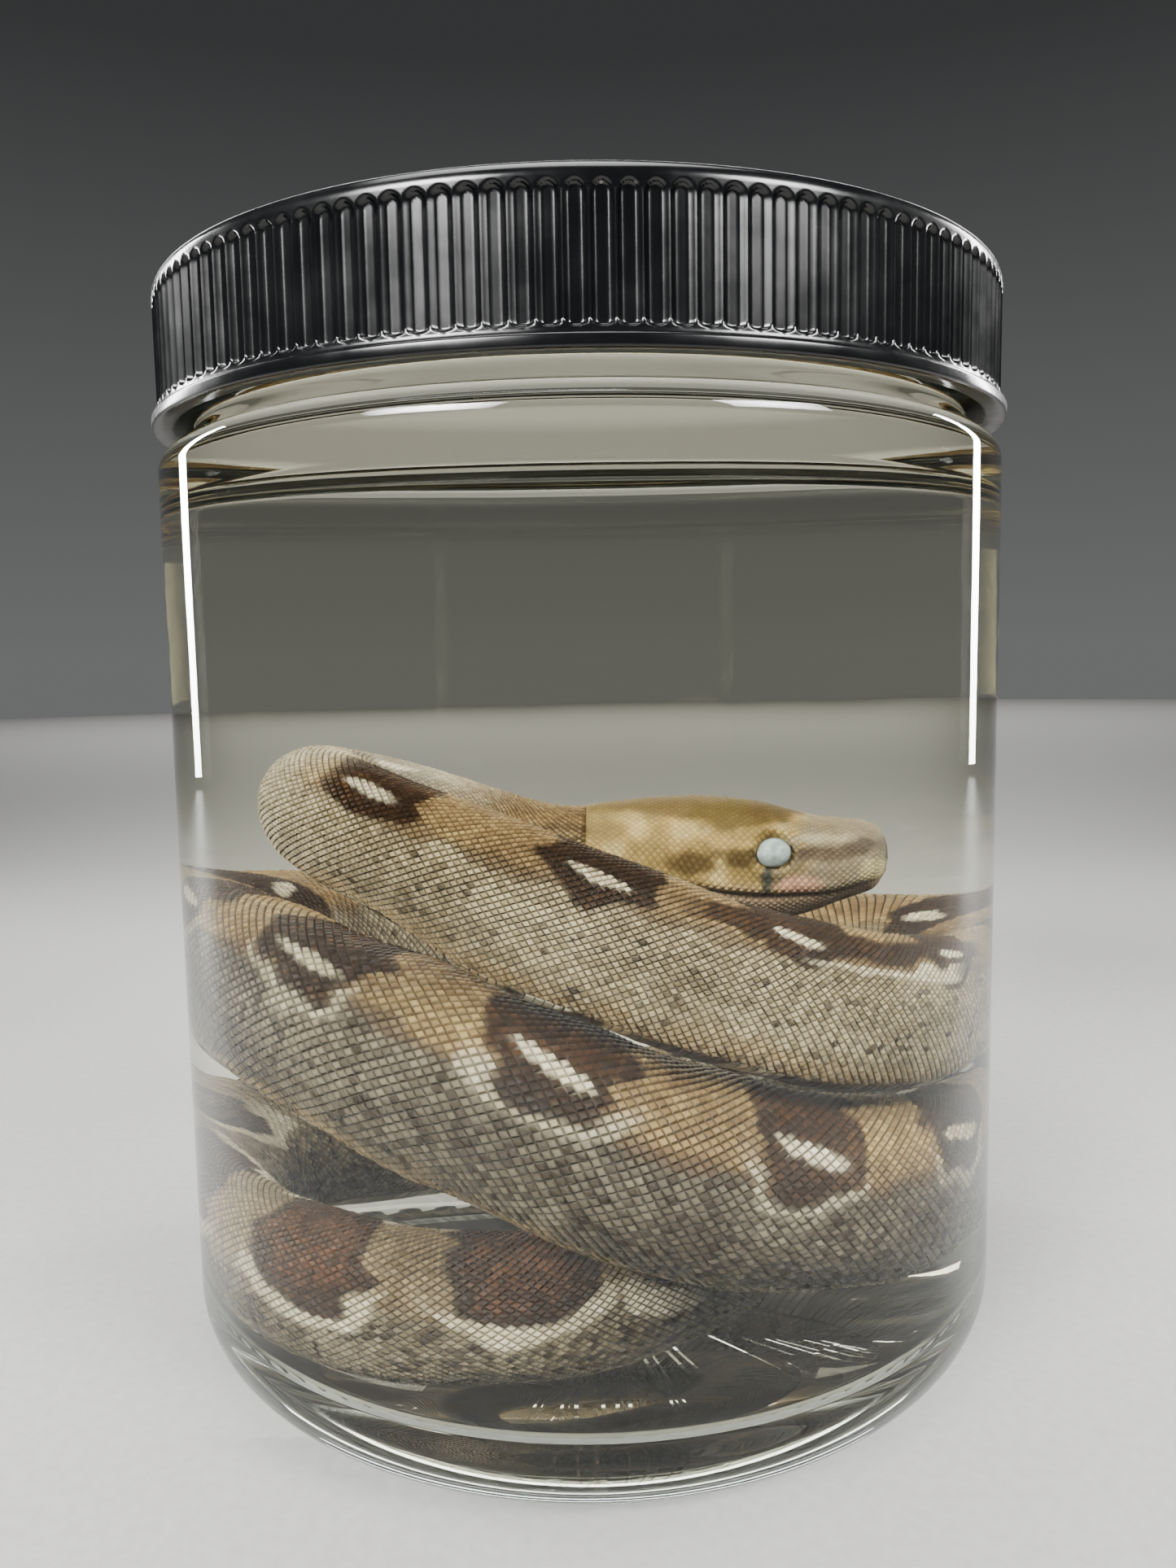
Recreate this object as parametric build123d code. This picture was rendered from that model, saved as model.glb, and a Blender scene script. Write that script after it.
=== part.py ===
from build123d import *
import os
from math import cos, pi, radians, sin, sqrt

# A straight-sided glass specimen jar with a ribbed screw cap, a two-layer liner, preserving
# fluid and a coiled young snake. Millimetres. The origin is the centre of the ring the jar
# stands on, +Z is up and -Y is the front, the side the head of the snake is seen from.

# ---- Driving dimensions: glass ------------------------------------------------------------
GLASS_DIAMETER = 73.0       # outside of the body
GLASS_HEIGHT = 88.5         # standing ring to rim
WALL = 2.4                  # body wall
FLOOR_THICKNESS = 5.2
PUSH_UP = 1.0               # hollow under the floor
HEEL_RADIUS = 6.7           # outside corner at the foot
FLOOR_RADIUS = 4.6          # inside corner at the floor
STANDING_WIDTH = 2.0        # flat ring the jar stands on
SHOULDER_ROUND = 2.3
NECK_STEP = 3.0             # body radius less neck radius
NECK_HEIGHT = 10.1          # shoulder to rim
NECK_WALL = 2.7
RIM_ROUND = 0.8
NECK_FOOT_ROUND = 0.4
MOUTH_INNER_ROUND = 2.0     # inside, where the neck opens into the body
SHOULDER_INNER_ROUND = 3.0
FOOT_RING_ROUND = 0.6
PUSH_UP_ROUND = 1.0

# ---- Driving dimensions: thread, 6 turns to the inch --------------------------------------
THREAD_PITCH = 4.233
THREAD_TURNS = 1.0
THREAD_DEPTH = 1.1
THREAD_ROOT_SHARE = 0.26    # half width of a thread at its root, share of the pitch
THREAD_CREST_SHARE = 0.12   # half width at its crest
THREAD_BITE = 0.25          # how far a thread is sunk into its own wall
THREAD_BELOW_RIM = 0.9      # plain neck above the top of the thread
THREAD_SIDE_CLEARANCE = 0.2
THREAD_TIP_CLEARANCE = 0.4  # thread crest to the opposite wall
CAP_THREAD_LEAD = 36.0      # degrees round from the start of the neck's thread

# ---- Driving dimensions: cap and liner ----------------------------------------------------
CAP_WALL = 1.3              # from the bore to the rib crests
CAP_ROOF = 1.5
CAP_EDGE_ROUND = 1.5
CAP_PANEL_DEPTH = 0.3       # sunk panel on top of the cap
CAP_BORDER = 4.0            # raised border round that panel
FLANGE_STEP = 0.5           # flange radius less rib crest radius
FLANGE_HEIGHT = 1.0
FLANGE_TOP_ROUND = 0.3
FLANGE_FOOT_ROUND = 0.35
FLANGE_ROOT_ROUND = 0.15
PANEL_EDGE_ROUND = 0.2
BORE_EDGE_ROUND = 0.3
ROOF_CORNER_ROUND = 0.4
CAP_GAP_TO_SHOULDER = 1.3
RIB_COUNT = 136
RIB_DEPTH = 0.4
RIB_CREST_SHARE = 0.3       # share of the pitch that is crest
RIB_ROOT_SHARE = 0.55       # share of the pitch that is rib at its root
RIB_TOP_MARGIN = 1.6        # plain band above the ribs
RIB_FOOT_MARGIN = 0.3
FOAM_THICKNESS = 0.9
FILM_THICKNESS = 0.15
LINER_SIDE_CLEARANCE = 0.4
LINER_FACE_CLEARANCE = 0.02

# ---- Driving dimensions: fluid and snake --------------------------------------------------
ULLAGE = 7.9                # rim down to the fluid
FLUID_FILM = 0.1            # fluid held off the skin, so that the two never overlap
HALF_GIRTH = 8.0            # thickest part of the trunk
WALL_CLEARANCE = 0.4        # skin to glass
FLOOR_CLEARANCE = 0.1
HEAD_LENGTH = 20.0
HEAD_HALF_WIDTH = 5.1
HEAD_HALF_HEIGHT = 4.2
HEAD_SIDE_CLEARANCE = 0.7   # head to the coil in front of it
HEAD_PITCH = -3.0           # degrees, nose down
HEAD_MIDDLE = 13.0          # sideways place of the head's widest free part
COIL_ROUND_HEAD = 0.68      # half girth, as a share, of the coil in front of the head
NAPE_RISE = 5.01            # height of the nape over the floor, in half girths
NAPE_GIRTH = 0.48           # share of the thickest half girth
MOUTH_DROP = 0.3            # mouth line below the head's axis, share of its half height
EYE_RADIUS = 1.25
EYE_ALONG = 0.60            # share of the head's length from the nape
EYE_LIFT = 0.22             # share of the half height
RING_SPACING = 6.5          # between the sections of the trunk

# ---- Values that follow -------------------------------------------------------------------
glass_radius = GLASS_DIAMETER / 2
inner_radius = glass_radius - WALL
neck_radius = glass_radius - NECK_STEP
mouth_radius = neck_radius - NECK_WALL
shoulder_height = GLASS_HEIGHT - NECK_HEIGHT
fluid_level = GLASS_HEIGHT - ULLAGE
thread_crest_radius = neck_radius + THREAD_DEPTH
bore_radius = thread_crest_radius + THREAD_TIP_CLEARANCE
rib_radius = bore_radius + CAP_WALL
flange_radius = rib_radius + FLANGE_STEP
film_bottom = GLASS_HEIGHT + LINER_FACE_CLEARANCE
foam_bottom = film_bottom + FILM_THICKNESS
roof_bottom = foam_bottom + FOAM_THICKNESS + LINER_FACE_CLEARANCE
cap_top = roof_bottom + CAP_ROOF
cap_bottom = shoulder_height + CAP_GAP_TO_SHOULDER
flange_top = cap_bottom + FLANGE_HEIGHT
liner_radius = bore_radius - LINER_SIDE_CLEARANCE


def turned(outline):
    """Revolve a closed outline of (radius, height, corner round) about the jar's axis."""
    face = make_face(Polyline(*[(r, 0, z) for r, z, _ in outline], close=True)).face()
    for r, z, corner_round in outline:
        if corner_round:
            corner = face.vertices().sort_by_distance((r, 0, z))[0]
            face = face.fillet_2d(corner_round, [corner])
    return revolve(face, Axis.Z).solid()


def cavity_outline():
    """The inside of the glass, from the mouth down to the middle of the floor."""
    inner_shoulder = shoulder_height - WALL
    return [
        (mouth_radius, inner_shoulder + NECK_STEP, MOUTH_INNER_ROUND),
        (inner_radius, inner_shoulder - NECK_STEP, SHOULDER_INNER_ROUND),
        (inner_radius, FLOOR_THICKNESS, FLOOR_RADIUS),
        (0, FLOOR_THICKNESS, 0),
    ]


# ---- Threads ------------------------------------------------------------------------------
root_half_width = THREAD_ROOT_SHARE * THREAD_PITCH
crest_half_width = THREAD_CREST_SHARE * THREAD_PITCH
thread_rise = THREAD_TURNS * THREAD_PITCH
neck_thread_start = GLASS_HEIGHT - THREAD_BELOW_RIM - root_half_width - thread_rise
# The cap's thread lies under the neck's, flank to flank where the two overlap.
overlap_share = (THREAD_DEPTH - THREAD_TIP_CLEARANCE) / THREAD_DEPTH
cap_thread_drop = (2 * root_half_width - overlap_share * (root_half_width - crest_half_width)
                   + THREAD_SIDE_CLEARANCE)


def thread(root, crest, start_height, start_angle):
    """One screw ridge: a tapered section carried up a helix from its root radius."""
    inward = 1 if crest > root else -1
    sunk = root - inward * THREAD_BITE
    section = make_face(Polyline(
        (sunk, 0, -root_half_width),
        (root, 0, -root_half_width),
        (crest, 0, -crest_half_width),
        (crest, 0, crest_half_width),
        (root, 0, root_half_width),
        (sunk, 0, root_half_width),
        close=True,
    )).face()
    helix = Helix(pitch=THREAD_PITCH, height=thread_rise, radius=root)
    ridge = Solid.sweep(section, helix, mode=Vector(0, 0, 1))
    return Pos(0, 0, start_height) * Rot(0, 0, start_angle) * ridge


# ---- Glass --------------------------------------------------------------------------------
def glass_jar():
    standing_inside = glass_radius - HEEL_RADIUS - STANDING_WIDTH
    outline = [
        (0, PUSH_UP, 0),
        (standing_inside - PUSH_UP, PUSH_UP, PUSH_UP_ROUND),
        (standing_inside, 0, FOOT_RING_ROUND),
        (glass_radius, 0, HEEL_RADIUS),
        (glass_radius, shoulder_height, SHOULDER_ROUND),
        (neck_radius, shoulder_height, NECK_FOOT_ROUND),
        (neck_radius, GLASS_HEIGHT, RIM_ROUND),
        (mouth_radius, GLASS_HEIGHT, RIM_ROUND),
    ]
    body = turned(outline + cavity_outline())
    ridge = thread(neck_radius, thread_crest_radius, neck_thread_start, 0)
    return (body + ridge).solid()


def preserving_fluid():
    """All the fluid, before the snake is taken out of it."""
    return turned([(0, fluid_level, 0), (mouth_radius, fluid_level, 0)] + cavity_outline())


# ---- Cap and liner ------------------------------------------------------------------------
def rib_valleys():
    """The space between the ribs, as one ring with a ribbed bore."""
    valley_radius = rib_radius - RIB_DEPTH
    pitch = 360 / RIB_COUNT
    crest_half = pitch * RIB_CREST_SHARE / 2
    root_half = pitch * RIB_ROOT_SHARE / 2
    outer_radius = flange_radius + RIB_DEPTH
    points = []
    for i in range(RIB_COUNT):
        middle = i * pitch
        for radius, angle in (
            (valley_radius, middle - root_half),
            (rib_radius, middle - crest_half),
            (rib_radius, middle + crest_half),
            (valley_radius, middle + root_half),
        ):
            points.append((radius * cos(radians(angle)), radius * sin(radians(angle))))
    ribbed = make_face(Polyline(*points, close=True))
    foot = flange_top + RIB_FOOT_MARGIN
    height = cap_top - RIB_TOP_MARGIN - foot
    return Pos(0, 0, foot) * (extrude(Circle(outer_radius), height) - extrude(ribbed, height))


def screw_cap():
    panel_radius = rib_radius - CAP_BORDER
    body = turned([
        (0, cap_top - CAP_PANEL_DEPTH, 0),
        (panel_radius - CAP_PANEL_DEPTH, cap_top - CAP_PANEL_DEPTH, PANEL_EDGE_ROUND),
        (panel_radius, cap_top, PANEL_EDGE_ROUND),
        (rib_radius, cap_top, CAP_EDGE_ROUND),
        (rib_radius, flange_top, FLANGE_ROOT_ROUND),
        (flange_radius, flange_top, FLANGE_TOP_ROUND),
        (flange_radius, cap_bottom, FLANGE_FOOT_ROUND),
        (bore_radius, cap_bottom, BORE_EDGE_ROUND),
        (bore_radius, roof_bottom, ROOF_CORNER_ROUND),
        (0, roof_bottom, 0),
    ])
    cap_thread_start = neck_thread_start - cap_thread_drop
    ridge = thread(
        bore_radius,
        bore_radius - THREAD_DEPTH,
        cap_thread_start + THREAD_PITCH * CAP_THREAD_LEAD / 360,
        CAP_THREAD_LEAD,
    )
    return (body + ridge - rib_valleys()).solid()


def disc(bottom, thickness):
    return Pos(0, 0, bottom) * extrude(Circle(liner_radius), thickness)


# ---- Snake --------------------------------------------------------------------------------
# The trunk's route from the nape to the tip of the tail. Each key gives the turn round the
# jar in degrees from the front, the share of the free radius it lies out at (1 is against
# the glass), its height over the floor in half girths, and its own half girth as a share
# of the thickest. The keys are the control points of one smooth curve.
coil_inside = inner_radius - WALL_CLEARANCE - 2 * COIL_ROUND_HEAD * HALF_GIRTH
nape_y = -(sqrt(coil_inside ** 2 - HEAD_MIDDLE ** 2) - HEAD_HALF_WIDTH - HEAD_SIDE_CLEARANCE)
nape_reach = -nape_y / (inner_radius - WALL_CLEARANCE - NAPE_GIRTH * HALF_GIRTH)

# The tail lies in the room that the coil against the glass leaves inside it.
coil_room = 1 - 2 * HALF_GIRTH / (inner_radius - WALL_CLEARANCE)

head_direction = Vector(cos(radians(HEAD_PITCH)), 0, sin(radians(HEAD_PITCH)))

ROUTE = [
    (2, nape_reach, NAPE_RISE, NAPE_GIRTH),
    (-14, nape_reach, NAPE_RISE + 0.02, 0.46),
    (-33, 0.46, 5.23, 0.48),
    (-48, 0.68, 5.55, 0.54),
    (-47, 0.93, 5.65, 0.60),
    (-24, 1.0, 5.28, 0.64),
    (4, 1.0, 4.51, 0.66),
    (34, 1.0, 3.73, 0.69),
    (68, 1.0, 3.23, 0.72),
    (105, 1.0, 3.09, 0.77),
    (145, 1.0, 3.14, 0.82),
    (185, 1.0, 3.25, 0.87),
    (225, 1.0, 3.46, 0.93),
    (268, 1.0, 3.68, 0.98),
    (305, 1.0, 3.62, 1.0),
    (342, 1.0, 3.14, 1.0),
    (372, 1.0, 2.2, 1.0),
    (400, 1.0, 1.75, 0.96),
    (434, 1.0, 1.41, 0.92),
    (475, 1.0, 1.2, 0.90),
    (515, 1.0, 1.05, 0.88),
    (555, 1.0, 0.95, 0.86),
    (595, 1.0, 0.88, 0.85),
    (635, 1.0, 0.86, 0.84),
    (668, 1.0, 0.84, 0.80),
    (698, 0.84, 0.78, 0.75),
    (738, 0.86 * coil_room, 0.72, 0.65),
    (805, 0.63 * coil_room, 0.74, 0.55),
    (880, 0.61 * coil_room, 0.95, 0.45),
    (960, 0.63 * coil_room, 1.5, 0.36),
    (1040, 0.59 * coil_room, 2.0, 0.25),
    (1110, 0.5 * coil_room, 2.5, 0.15),
    (1160, 0.38 * coil_room, 2.8, 0.08),
]
SPANS = {"neck": (0, 4.5), "forebody": (4.5, 10.5), "midbody": (10.5, 15.5),
         "hindbody": (15.5, 20.5), "lower_coil": (20.5, 25.5), "tail": (25.5, 32)}


def blended_key(place):
    """The route's four values at a place, by a cubic B-spline that starts on the first key."""
    last = len(ROUTE) - 1
    whole = min(int(place), last - 1)
    t = place - whole
    weights = ((1 - t) ** 3, 3 * t ** 3 - 6 * t ** 2 + 4, -3 * t ** 3 + 3 * t ** 2 + 3 * t + 1, t ** 3)
    mixed = [0.0] * 4
    for offset, weight in zip((-1, 0, 1, 2), weights):
        index = whole + offset
        for k in range(4):
            if index < 0:
                value = 2 * ROUTE[0][k] - ROUTE[-index][k]
            elif index > last:
                value = 2 * ROUTE[last][k] - ROUTE[2 * last - index][k]
            else:
                value = ROUTE[index][k]
            mixed[k] += weight / 6 * value
    return mixed


def body_at(place):
    """Centre and half girth of the trunk."""
    turn, reach, rise, share = blended_key(place)
    half_girth = share * HALF_GIRTH
    out = reach * (inner_radius - WALL_CLEARANCE - half_girth)
    height = FLOOR_THICKNESS + FLOOR_CLEARANCE + HALF_GIRTH * rise
    return Vector(out * sin(radians(turn)), -out * cos(radians(turn)), height), half_girth


def section_plane(place):
    """A plane square to the trunk, or to the head at the nape, with its x axis uppermost."""
    step = 0.01
    along = (body_at(place + step)[0] - body_at(place - step)[0]).normalized()
    if place == 0:
        along = -head_direction
    up = Vector(0, 0, 1)
    upright = (up - along * up.dot(along)).normalized()
    return Plane(origin=body_at(place)[0], x_dir=upright, z_dir=along)


def trunk_span(first, last, skin=0.0):
    """One stretch of the trunk, through round sections a few millimetres apart."""
    fine = 40
    places = [first + (last - first) * i / fine for i in range(fine + 1)]
    length = sum((body_at(b)[0] - body_at(a)[0]).length for a, b in zip(places, places[1:]))
    count = max(3, round(length / RING_SPACING))
    rings = []
    for i in range(count + 1):
        place = first + (last - first) * i / count
        rings.append(section_plane(place) * Circle(body_at(place)[1] + skin))
    lengths = [loft(pair, ruled=True).solid() for pair in zip(rings, rings[1:])]
    return lengths[0].fuse(*lengths[1:]).solid()


# Sections of the head from the nape: share of its length, of its half width, of its half height.
HEAD_SECTIONS = [
    (0.0, 0.78, 0.92),
    (0.2, 0.96, 1.0),
    (0.42, 1.0, 1.0),
    (0.62, 0.82, 0.92),
    (0.84, 0.56, 0.74),
    (0.96, 0.36, 0.5),
    (1.0, 0.2, 0.28),
]
nape = body_at(0)[0]
head_plane = Plane(origin=nape, x_dir=Vector(0, 1, 0), z_dir=head_direction)


def whole_head(skin=0.0):
    """Head as one solid: x of its plane is across, y is up, z runs from the nape to the nose."""
    rings = []
    for along, wide, high in HEAD_SECTIONS:
        ring = Ellipse(wide * HEAD_HALF_WIDTH + skin, high * HEAD_HALF_HEIGHT + skin)
        rings.append(Pos(0, 0, along * HEAD_LENGTH + (skin if along else -skin)) * ring)
    return loft(rings, ruled=True).solid()


def eye(side):
    out = side * (0.86 * HEAD_HALF_WIDTH - 0.35 * EYE_RADIUS)
    return Pos(out, EYE_LIFT * HEAD_HALF_HEIGHT, EYE_ALONG * HEAD_LENGTH) * Sphere(EYE_RADIUS)


def head_parts():
    """The skull with its skin, the lower jaw under the mouth line, and both eyes."""
    head = whole_head()
    mouth = -MOUTH_DROP * HEAD_HALF_HEIGHT
    room = 2 * HEAD_LENGTH
    below = Pos(0, mouth - room / 2, HEAD_LENGTH / 2) * Box(room, room, room)
    eyes = {"left_eye": eye(1), "right_eye": eye(-1)}
    sockets = eyes["left_eye"] + eyes["right_eye"]
    parts = {"cranium": head - below - sockets, "lower_jaw": (head & below) - sockets, **eyes}
    return {name: (head_plane.location * shape).solid() for name, shape in parts.items()}


# ---- Build and write ----------------------------------------------------------------------
pieces = {
    "glass_jar": glass_jar(),
    "screw_cap": screw_cap(),
    "liner_foam": disc(foam_bottom, FOAM_THICKNESS),
    "liner_film": disc(film_bottom, FILM_THICKNESS),
}
fluid = preserving_fluid()
for name, (first, last) in SPANS.items():
    pieces[name] = trunk_span(first, last)
    fluid = fluid - trunk_span(first, last, FLUID_FILM)
pieces.update(head_parts())
fluid = fluid - head_plane.location * whole_head(FLUID_FILM)
for name in ("left_eye", "right_eye"):
    fluid = fluid - pieces[name]
pieces["preserving_fluid"] = fluid.solid()

os.makedirs("parts", exist_ok=True)
for name, shape in pieces.items():
    export_step(shape, f"parts/{name}.step")

unscrew_lift = THREAD_PITCH / (2 * pi)
print(f"cap top {cap_top:.3f}, cap bottom {cap_bottom:.3f}, rib radius {rib_radius:.3f}")
print(f"flange radius {flange_radius:.3f}, fluid level {fluid_level:.3f}, lift {unscrew_lift:.4f} mm/rad")
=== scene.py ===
# %% [markdown]
# # A specimen jar in Blender
# A glass jar with a ribbed black screw cap holds a coiled young snake in clear preserving
# fluid. The CAD model gives the jar, the cap, the liner and the room that the snake takes.
# This lesson adds what the eye looks for: clear glass, a fluid that bends the light, moulded
# ribs, and a skin of some sixty thousand scales, each one a small raised face.

# %% Load the CAD frame
import math

import bpy
import numpy as np
from mathutils import Matrix, Vector


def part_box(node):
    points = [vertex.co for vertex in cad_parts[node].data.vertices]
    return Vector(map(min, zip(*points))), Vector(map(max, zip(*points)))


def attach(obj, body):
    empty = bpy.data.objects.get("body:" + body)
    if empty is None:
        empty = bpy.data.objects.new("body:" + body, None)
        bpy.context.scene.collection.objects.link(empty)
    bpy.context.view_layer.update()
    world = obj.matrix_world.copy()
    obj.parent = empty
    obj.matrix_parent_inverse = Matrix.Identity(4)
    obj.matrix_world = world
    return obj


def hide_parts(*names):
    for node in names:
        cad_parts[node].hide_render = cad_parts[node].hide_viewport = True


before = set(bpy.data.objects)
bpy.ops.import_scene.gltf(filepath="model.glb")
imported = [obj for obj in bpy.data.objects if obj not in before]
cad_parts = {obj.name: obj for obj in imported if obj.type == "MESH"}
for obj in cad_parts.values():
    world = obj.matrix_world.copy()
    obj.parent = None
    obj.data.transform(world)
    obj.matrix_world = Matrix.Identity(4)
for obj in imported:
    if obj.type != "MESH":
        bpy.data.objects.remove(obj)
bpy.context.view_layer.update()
MM = 0.001
glass_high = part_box("glass_jar")[1]
cap_low, cap_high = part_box("screw_cap")
fluid_low, fluid_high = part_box("preserving_fluid")

# %% [markdown]
# ## Camera
# The jar is seen from close by, a little above its middle, so the foot curves strongly and
# the underside of the fluid's surface shows as a mirror under the cap. A long lens from far
# away could not give that. The camera leans one degree, as a hand-held one does.

# %% Camera
CAMERA_DISTANCE = 113.5 * MM
CAMERA_HEIGHT = 61.3 * MM
CAMERA_SIDE = 0.2 * MM
CAMERA_DOWN = 6.3
CAMERA_LEAN = -1.0
LENS = 27.9
SENSOR = 36.0
NEAR_LIMIT = 0.005


def set_camera():
    data = bpy.data.cameras.new("camera")
    camera = bpy.data.objects.new("camera", data)
    bpy.context.scene.collection.objects.link(camera)
    data.lens = LENS
    data.sensor_width = SENSOR
    data.clip_start = NEAR_LIMIT
    place = Matrix.Translation((CAMERA_SIDE, -CAMERA_DISTANCE, CAMERA_HEIGHT))
    tilt = Matrix.Rotation(math.radians(90 - CAMERA_DOWN), 4, "X")
    lean = Matrix.Rotation(math.radians(CAMERA_LEAN), 4, "Z")
    camera.matrix_world = place @ tilt @ lean
    bpy.context.scene.camera = camera


set_camera()

# %% [markdown]
# ## Helpers for materials
# Every colour is picked as an sRGB hex value, as a painter would, and turned to the linear
# numbers that a renderer adds up. One small function adds a node with its settings and links,
# and a few more wrap the nodes that every material needs.

# %% Material helpers
def linear(code):
    """An sRGB hex colour such as 8a6f4d as linear red, green, blue and 1."""
    channels = [int(code[i:i + 2], 16) / 255 for i in (0, 2, 4)]
    return tuple(c / 12.92 if c <= 0.04045 else ((c + 0.055) / 1.055) ** 2.4 for c in channels) + (1.0,)


def new_material(name):
    material = bpy.data.materials.new(name)
    material.use_nodes = True
    material.node_tree.nodes.clear()
    return material


def add(material, kind, links=None, sockets=None, **settings):
    """Add a node; links and sockets are keyed by the input's name or number."""
    made = material.node_tree.nodes.new(kind)
    for key, value in settings.items():
        setattr(made, key, value)
    for key, value in (sockets or {}).items():
        made.inputs[key].default_value = value
    for key, source in (links or {}).items():
        material.node_tree.links.new(source, made.inputs[key])
    return made


def finish_material(material, shader):
    add(material, "ShaderNodeOutputMaterial", {"Surface": shader.outputs[0]})
    return material


def finish_surface(material, links, sockets):
    """Finish with a principled surface, from its linked and its fixed inputs."""
    return finish_material(material, add(material, "ShaderNodeBsdfPrincipled", links, sockets))


def object_point(material):
    return add(material, "ShaderNodeTexCoord").outputs["Object"]


def noise(material, scale, detail=2.0, roughness=0.5):
    """Soft noise in the piece's own coordinates; scale is in blotches to the metre."""
    return add(material, "ShaderNodeTexNoise", {"Vector": object_point(material)},
               {"Scale": scale, "Detail": detail, "Roughness": roughness}).outputs["Fac"]


def bumped(material, height, strength, distance):
    return add(material, "ShaderNodeBump", {"Height": height},
               {"Strength": strength, "Distance": distance}).outputs["Normal"]


def ramp(material, source, stops):
    """A colour ramp fed by source; stops are (place, hex colour)."""
    made = add(material, "ShaderNodeValToRGB", {"Fac": source})
    points = made.color_ramp.elements
    while len(points) < len(stops):
        points.new(0.5)
    for point, (place, code) in zip(points, stops):
        point.position = place
        point.color = linear(code)
    return made.outputs["Color"]


def paint(piece, material):
    piece.data.materials.clear()
    piece.data.materials.append(material)


# %% [markdown]
# ## Glass and fluid that let lamps through
# A path tracer bends camera rays through glass well, but its lamp rays stop at the first
# surface. Mixing in a transparent shader for shadow rays only lets the lamps reach what lies
# inside, at the price of sharp light patterns that nobody would miss here.

# %% Clear materials
GLASS_INDEX = 1.517
FLUID_INDEX = 1.362
WAVE_HEIGHT = 0.0005


def clear_material(name, colour, ior, bump_scale, bump_strength):
    material = new_material(name)
    normal = bumped(material, noise(material, bump_scale), bump_strength, WAVE_HEIGHT)
    glass = add(material, "ShaderNodeBsdfGlass", {"Normal": normal},
                {"Color": linear(colour), "IOR": ior, "Roughness": 0.0})
    passing = add(material, "ShaderNodeBsdfTransparent", None, {"Color": linear(colour)})
    path = add(material, "ShaderNodeLightPath")
    mixed = add(material, "ShaderNodeMixShader",
                {0: path.outputs["Is Shadow Ray"], 1: glass.outputs[0], 2: passing.outputs[0]})
    return finish_material(material, mixed)


# Pressed soda-lime glass: clear, faintly green at the edges, with slow waves from the mould.
jar_glass = clear_material("soda_lime_glass", "f9fcfb", GLASS_INDEX, 60.0, 0.06)
# Where glass meets fluid the step in index is small, so the wall all but vanishes.
wetted_index = GLASS_INDEX / FLUID_INDEX
wetted_glass = clear_material("soda_lime_glass_under_fluid", "fbf9f3", wetted_index, 60.0, 0.06)
# Preserving alcohol that has drawn a little colour out of the skin: a faint warm yellow.
alcohol = clear_material("preserving_alcohol", "fbf9f2", FLUID_INDEX, 30.0, 0.05)

# %% [markdown]
# ## Turning on a lathe
# A turned piece starts as a flat grid: one way counts steps round the axis, the other the
# points of an outline. Rolling the grid up by formula and welding the seam gives the solid,
# and the counts stay at hand for anything that depends on the angle, such as a screw thread.

# %% Mesh helpers and lathe
WELD = 1e-6


def select_only(piece):
    if bpy.context.object and bpy.context.object.mode != "OBJECT":
        bpy.ops.object.mode_set(mode="OBJECT")
    bpy.ops.object.select_all(action="DESELECT")
    piece.select_set(True)
    bpy.context.view_layer.objects.active = piece


def read(group, name, width=1, kind=float):
    """One property of every element in a group, as an array."""
    flat = np.empty(len(group) * width, kind)
    group.foreach_get(name, flat)
    return flat.reshape(-1, width) if width > 1 else flat


def write(piece, name, values, kind="FLOAT", domain="POINT"):
    """Store an attribute on the points or faces of a piece."""
    data = piece.data.attributes.new(name, kind, domain).data
    field = "color" if kind == "FLOAT_COLOR" else "value"
    data.foreach_set(field, values.astype(int if kind == "INT" else float).ravel())


def positions(piece):
    return read(piece.data.vertices, "co", 3)


def face_centres(piece):
    return read(piece.data.polygons, "center", 3)


def move_points(piece, places):
    piece.data.vertices.foreach_set("co", places.ravel())
    piece.data.update()


def flat_grid(name, columns, rows):
    bpy.ops.object.select_all(action="DESELECT")
    bpy.ops.mesh.primitive_grid_add(x_subdivisions=columns, y_subdivisions=rows, size=1)
    piece = bpy.context.object
    piece.name = name
    return piece


def weld(piece, fill=False):
    """Weld doubled corners, close open ends if asked, and turn every face outwards."""
    select_only(piece)
    bpy.ops.object.mode_set(mode="EDIT")
    bpy.ops.mesh.select_all(action="SELECT")
    bpy.ops.mesh.remove_doubles(threshold=WELD)
    bpy.ops.mesh.select_all(action="SELECT")
    if fill:
        bpy.ops.mesh.fill_holes(sides=0)
        bpy.ops.mesh.select_all(action="SELECT")
    bpy.ops.mesh.normals_make_consistent(inside=False)
    bpy.ops.object.mode_set(mode="OBJECT")


def lathe(name, outline, steps, shape=None, smooth_angle=40):
    """Turn an outline of (radius, height) points round Z; shape may move the rolled points.

    shape(angle, row, radius, height) works in millimetres and gives a new radius and height.
    Each face of the piece keeps the outline row at its middle, as outline_row.
    """
    rows = len(outline) - 1
    piece = flat_grid(name, steps, rows)
    flat = positions(piece)
    angle = np.round((flat[:, 0] + 0.5) * steps) % steps / steps * math.tau
    row = np.round((flat[:, 1] + 0.5) * rows).astype(int)
    face_row = (face_centres(piece)[:, 1] + 0.5) * rows
    radius, height = np.array(outline)[row].T
    on_axis = radius == 0
    if shape:
        radius, height = shape(angle, row, radius, height)
    radius = np.where(on_axis, 0, radius)
    rolled = np.stack([radius * np.cos(angle), radius * np.sin(angle), height], axis=1) * MM
    write(piece, "outline_row", face_row, "FLOAT", "FACE")
    move_points(piece, rolled)
    weld(piece)
    bpy.ops.object.shade_smooth_by_angle(angle=math.radians(smooth_angle))
    return piece


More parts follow.
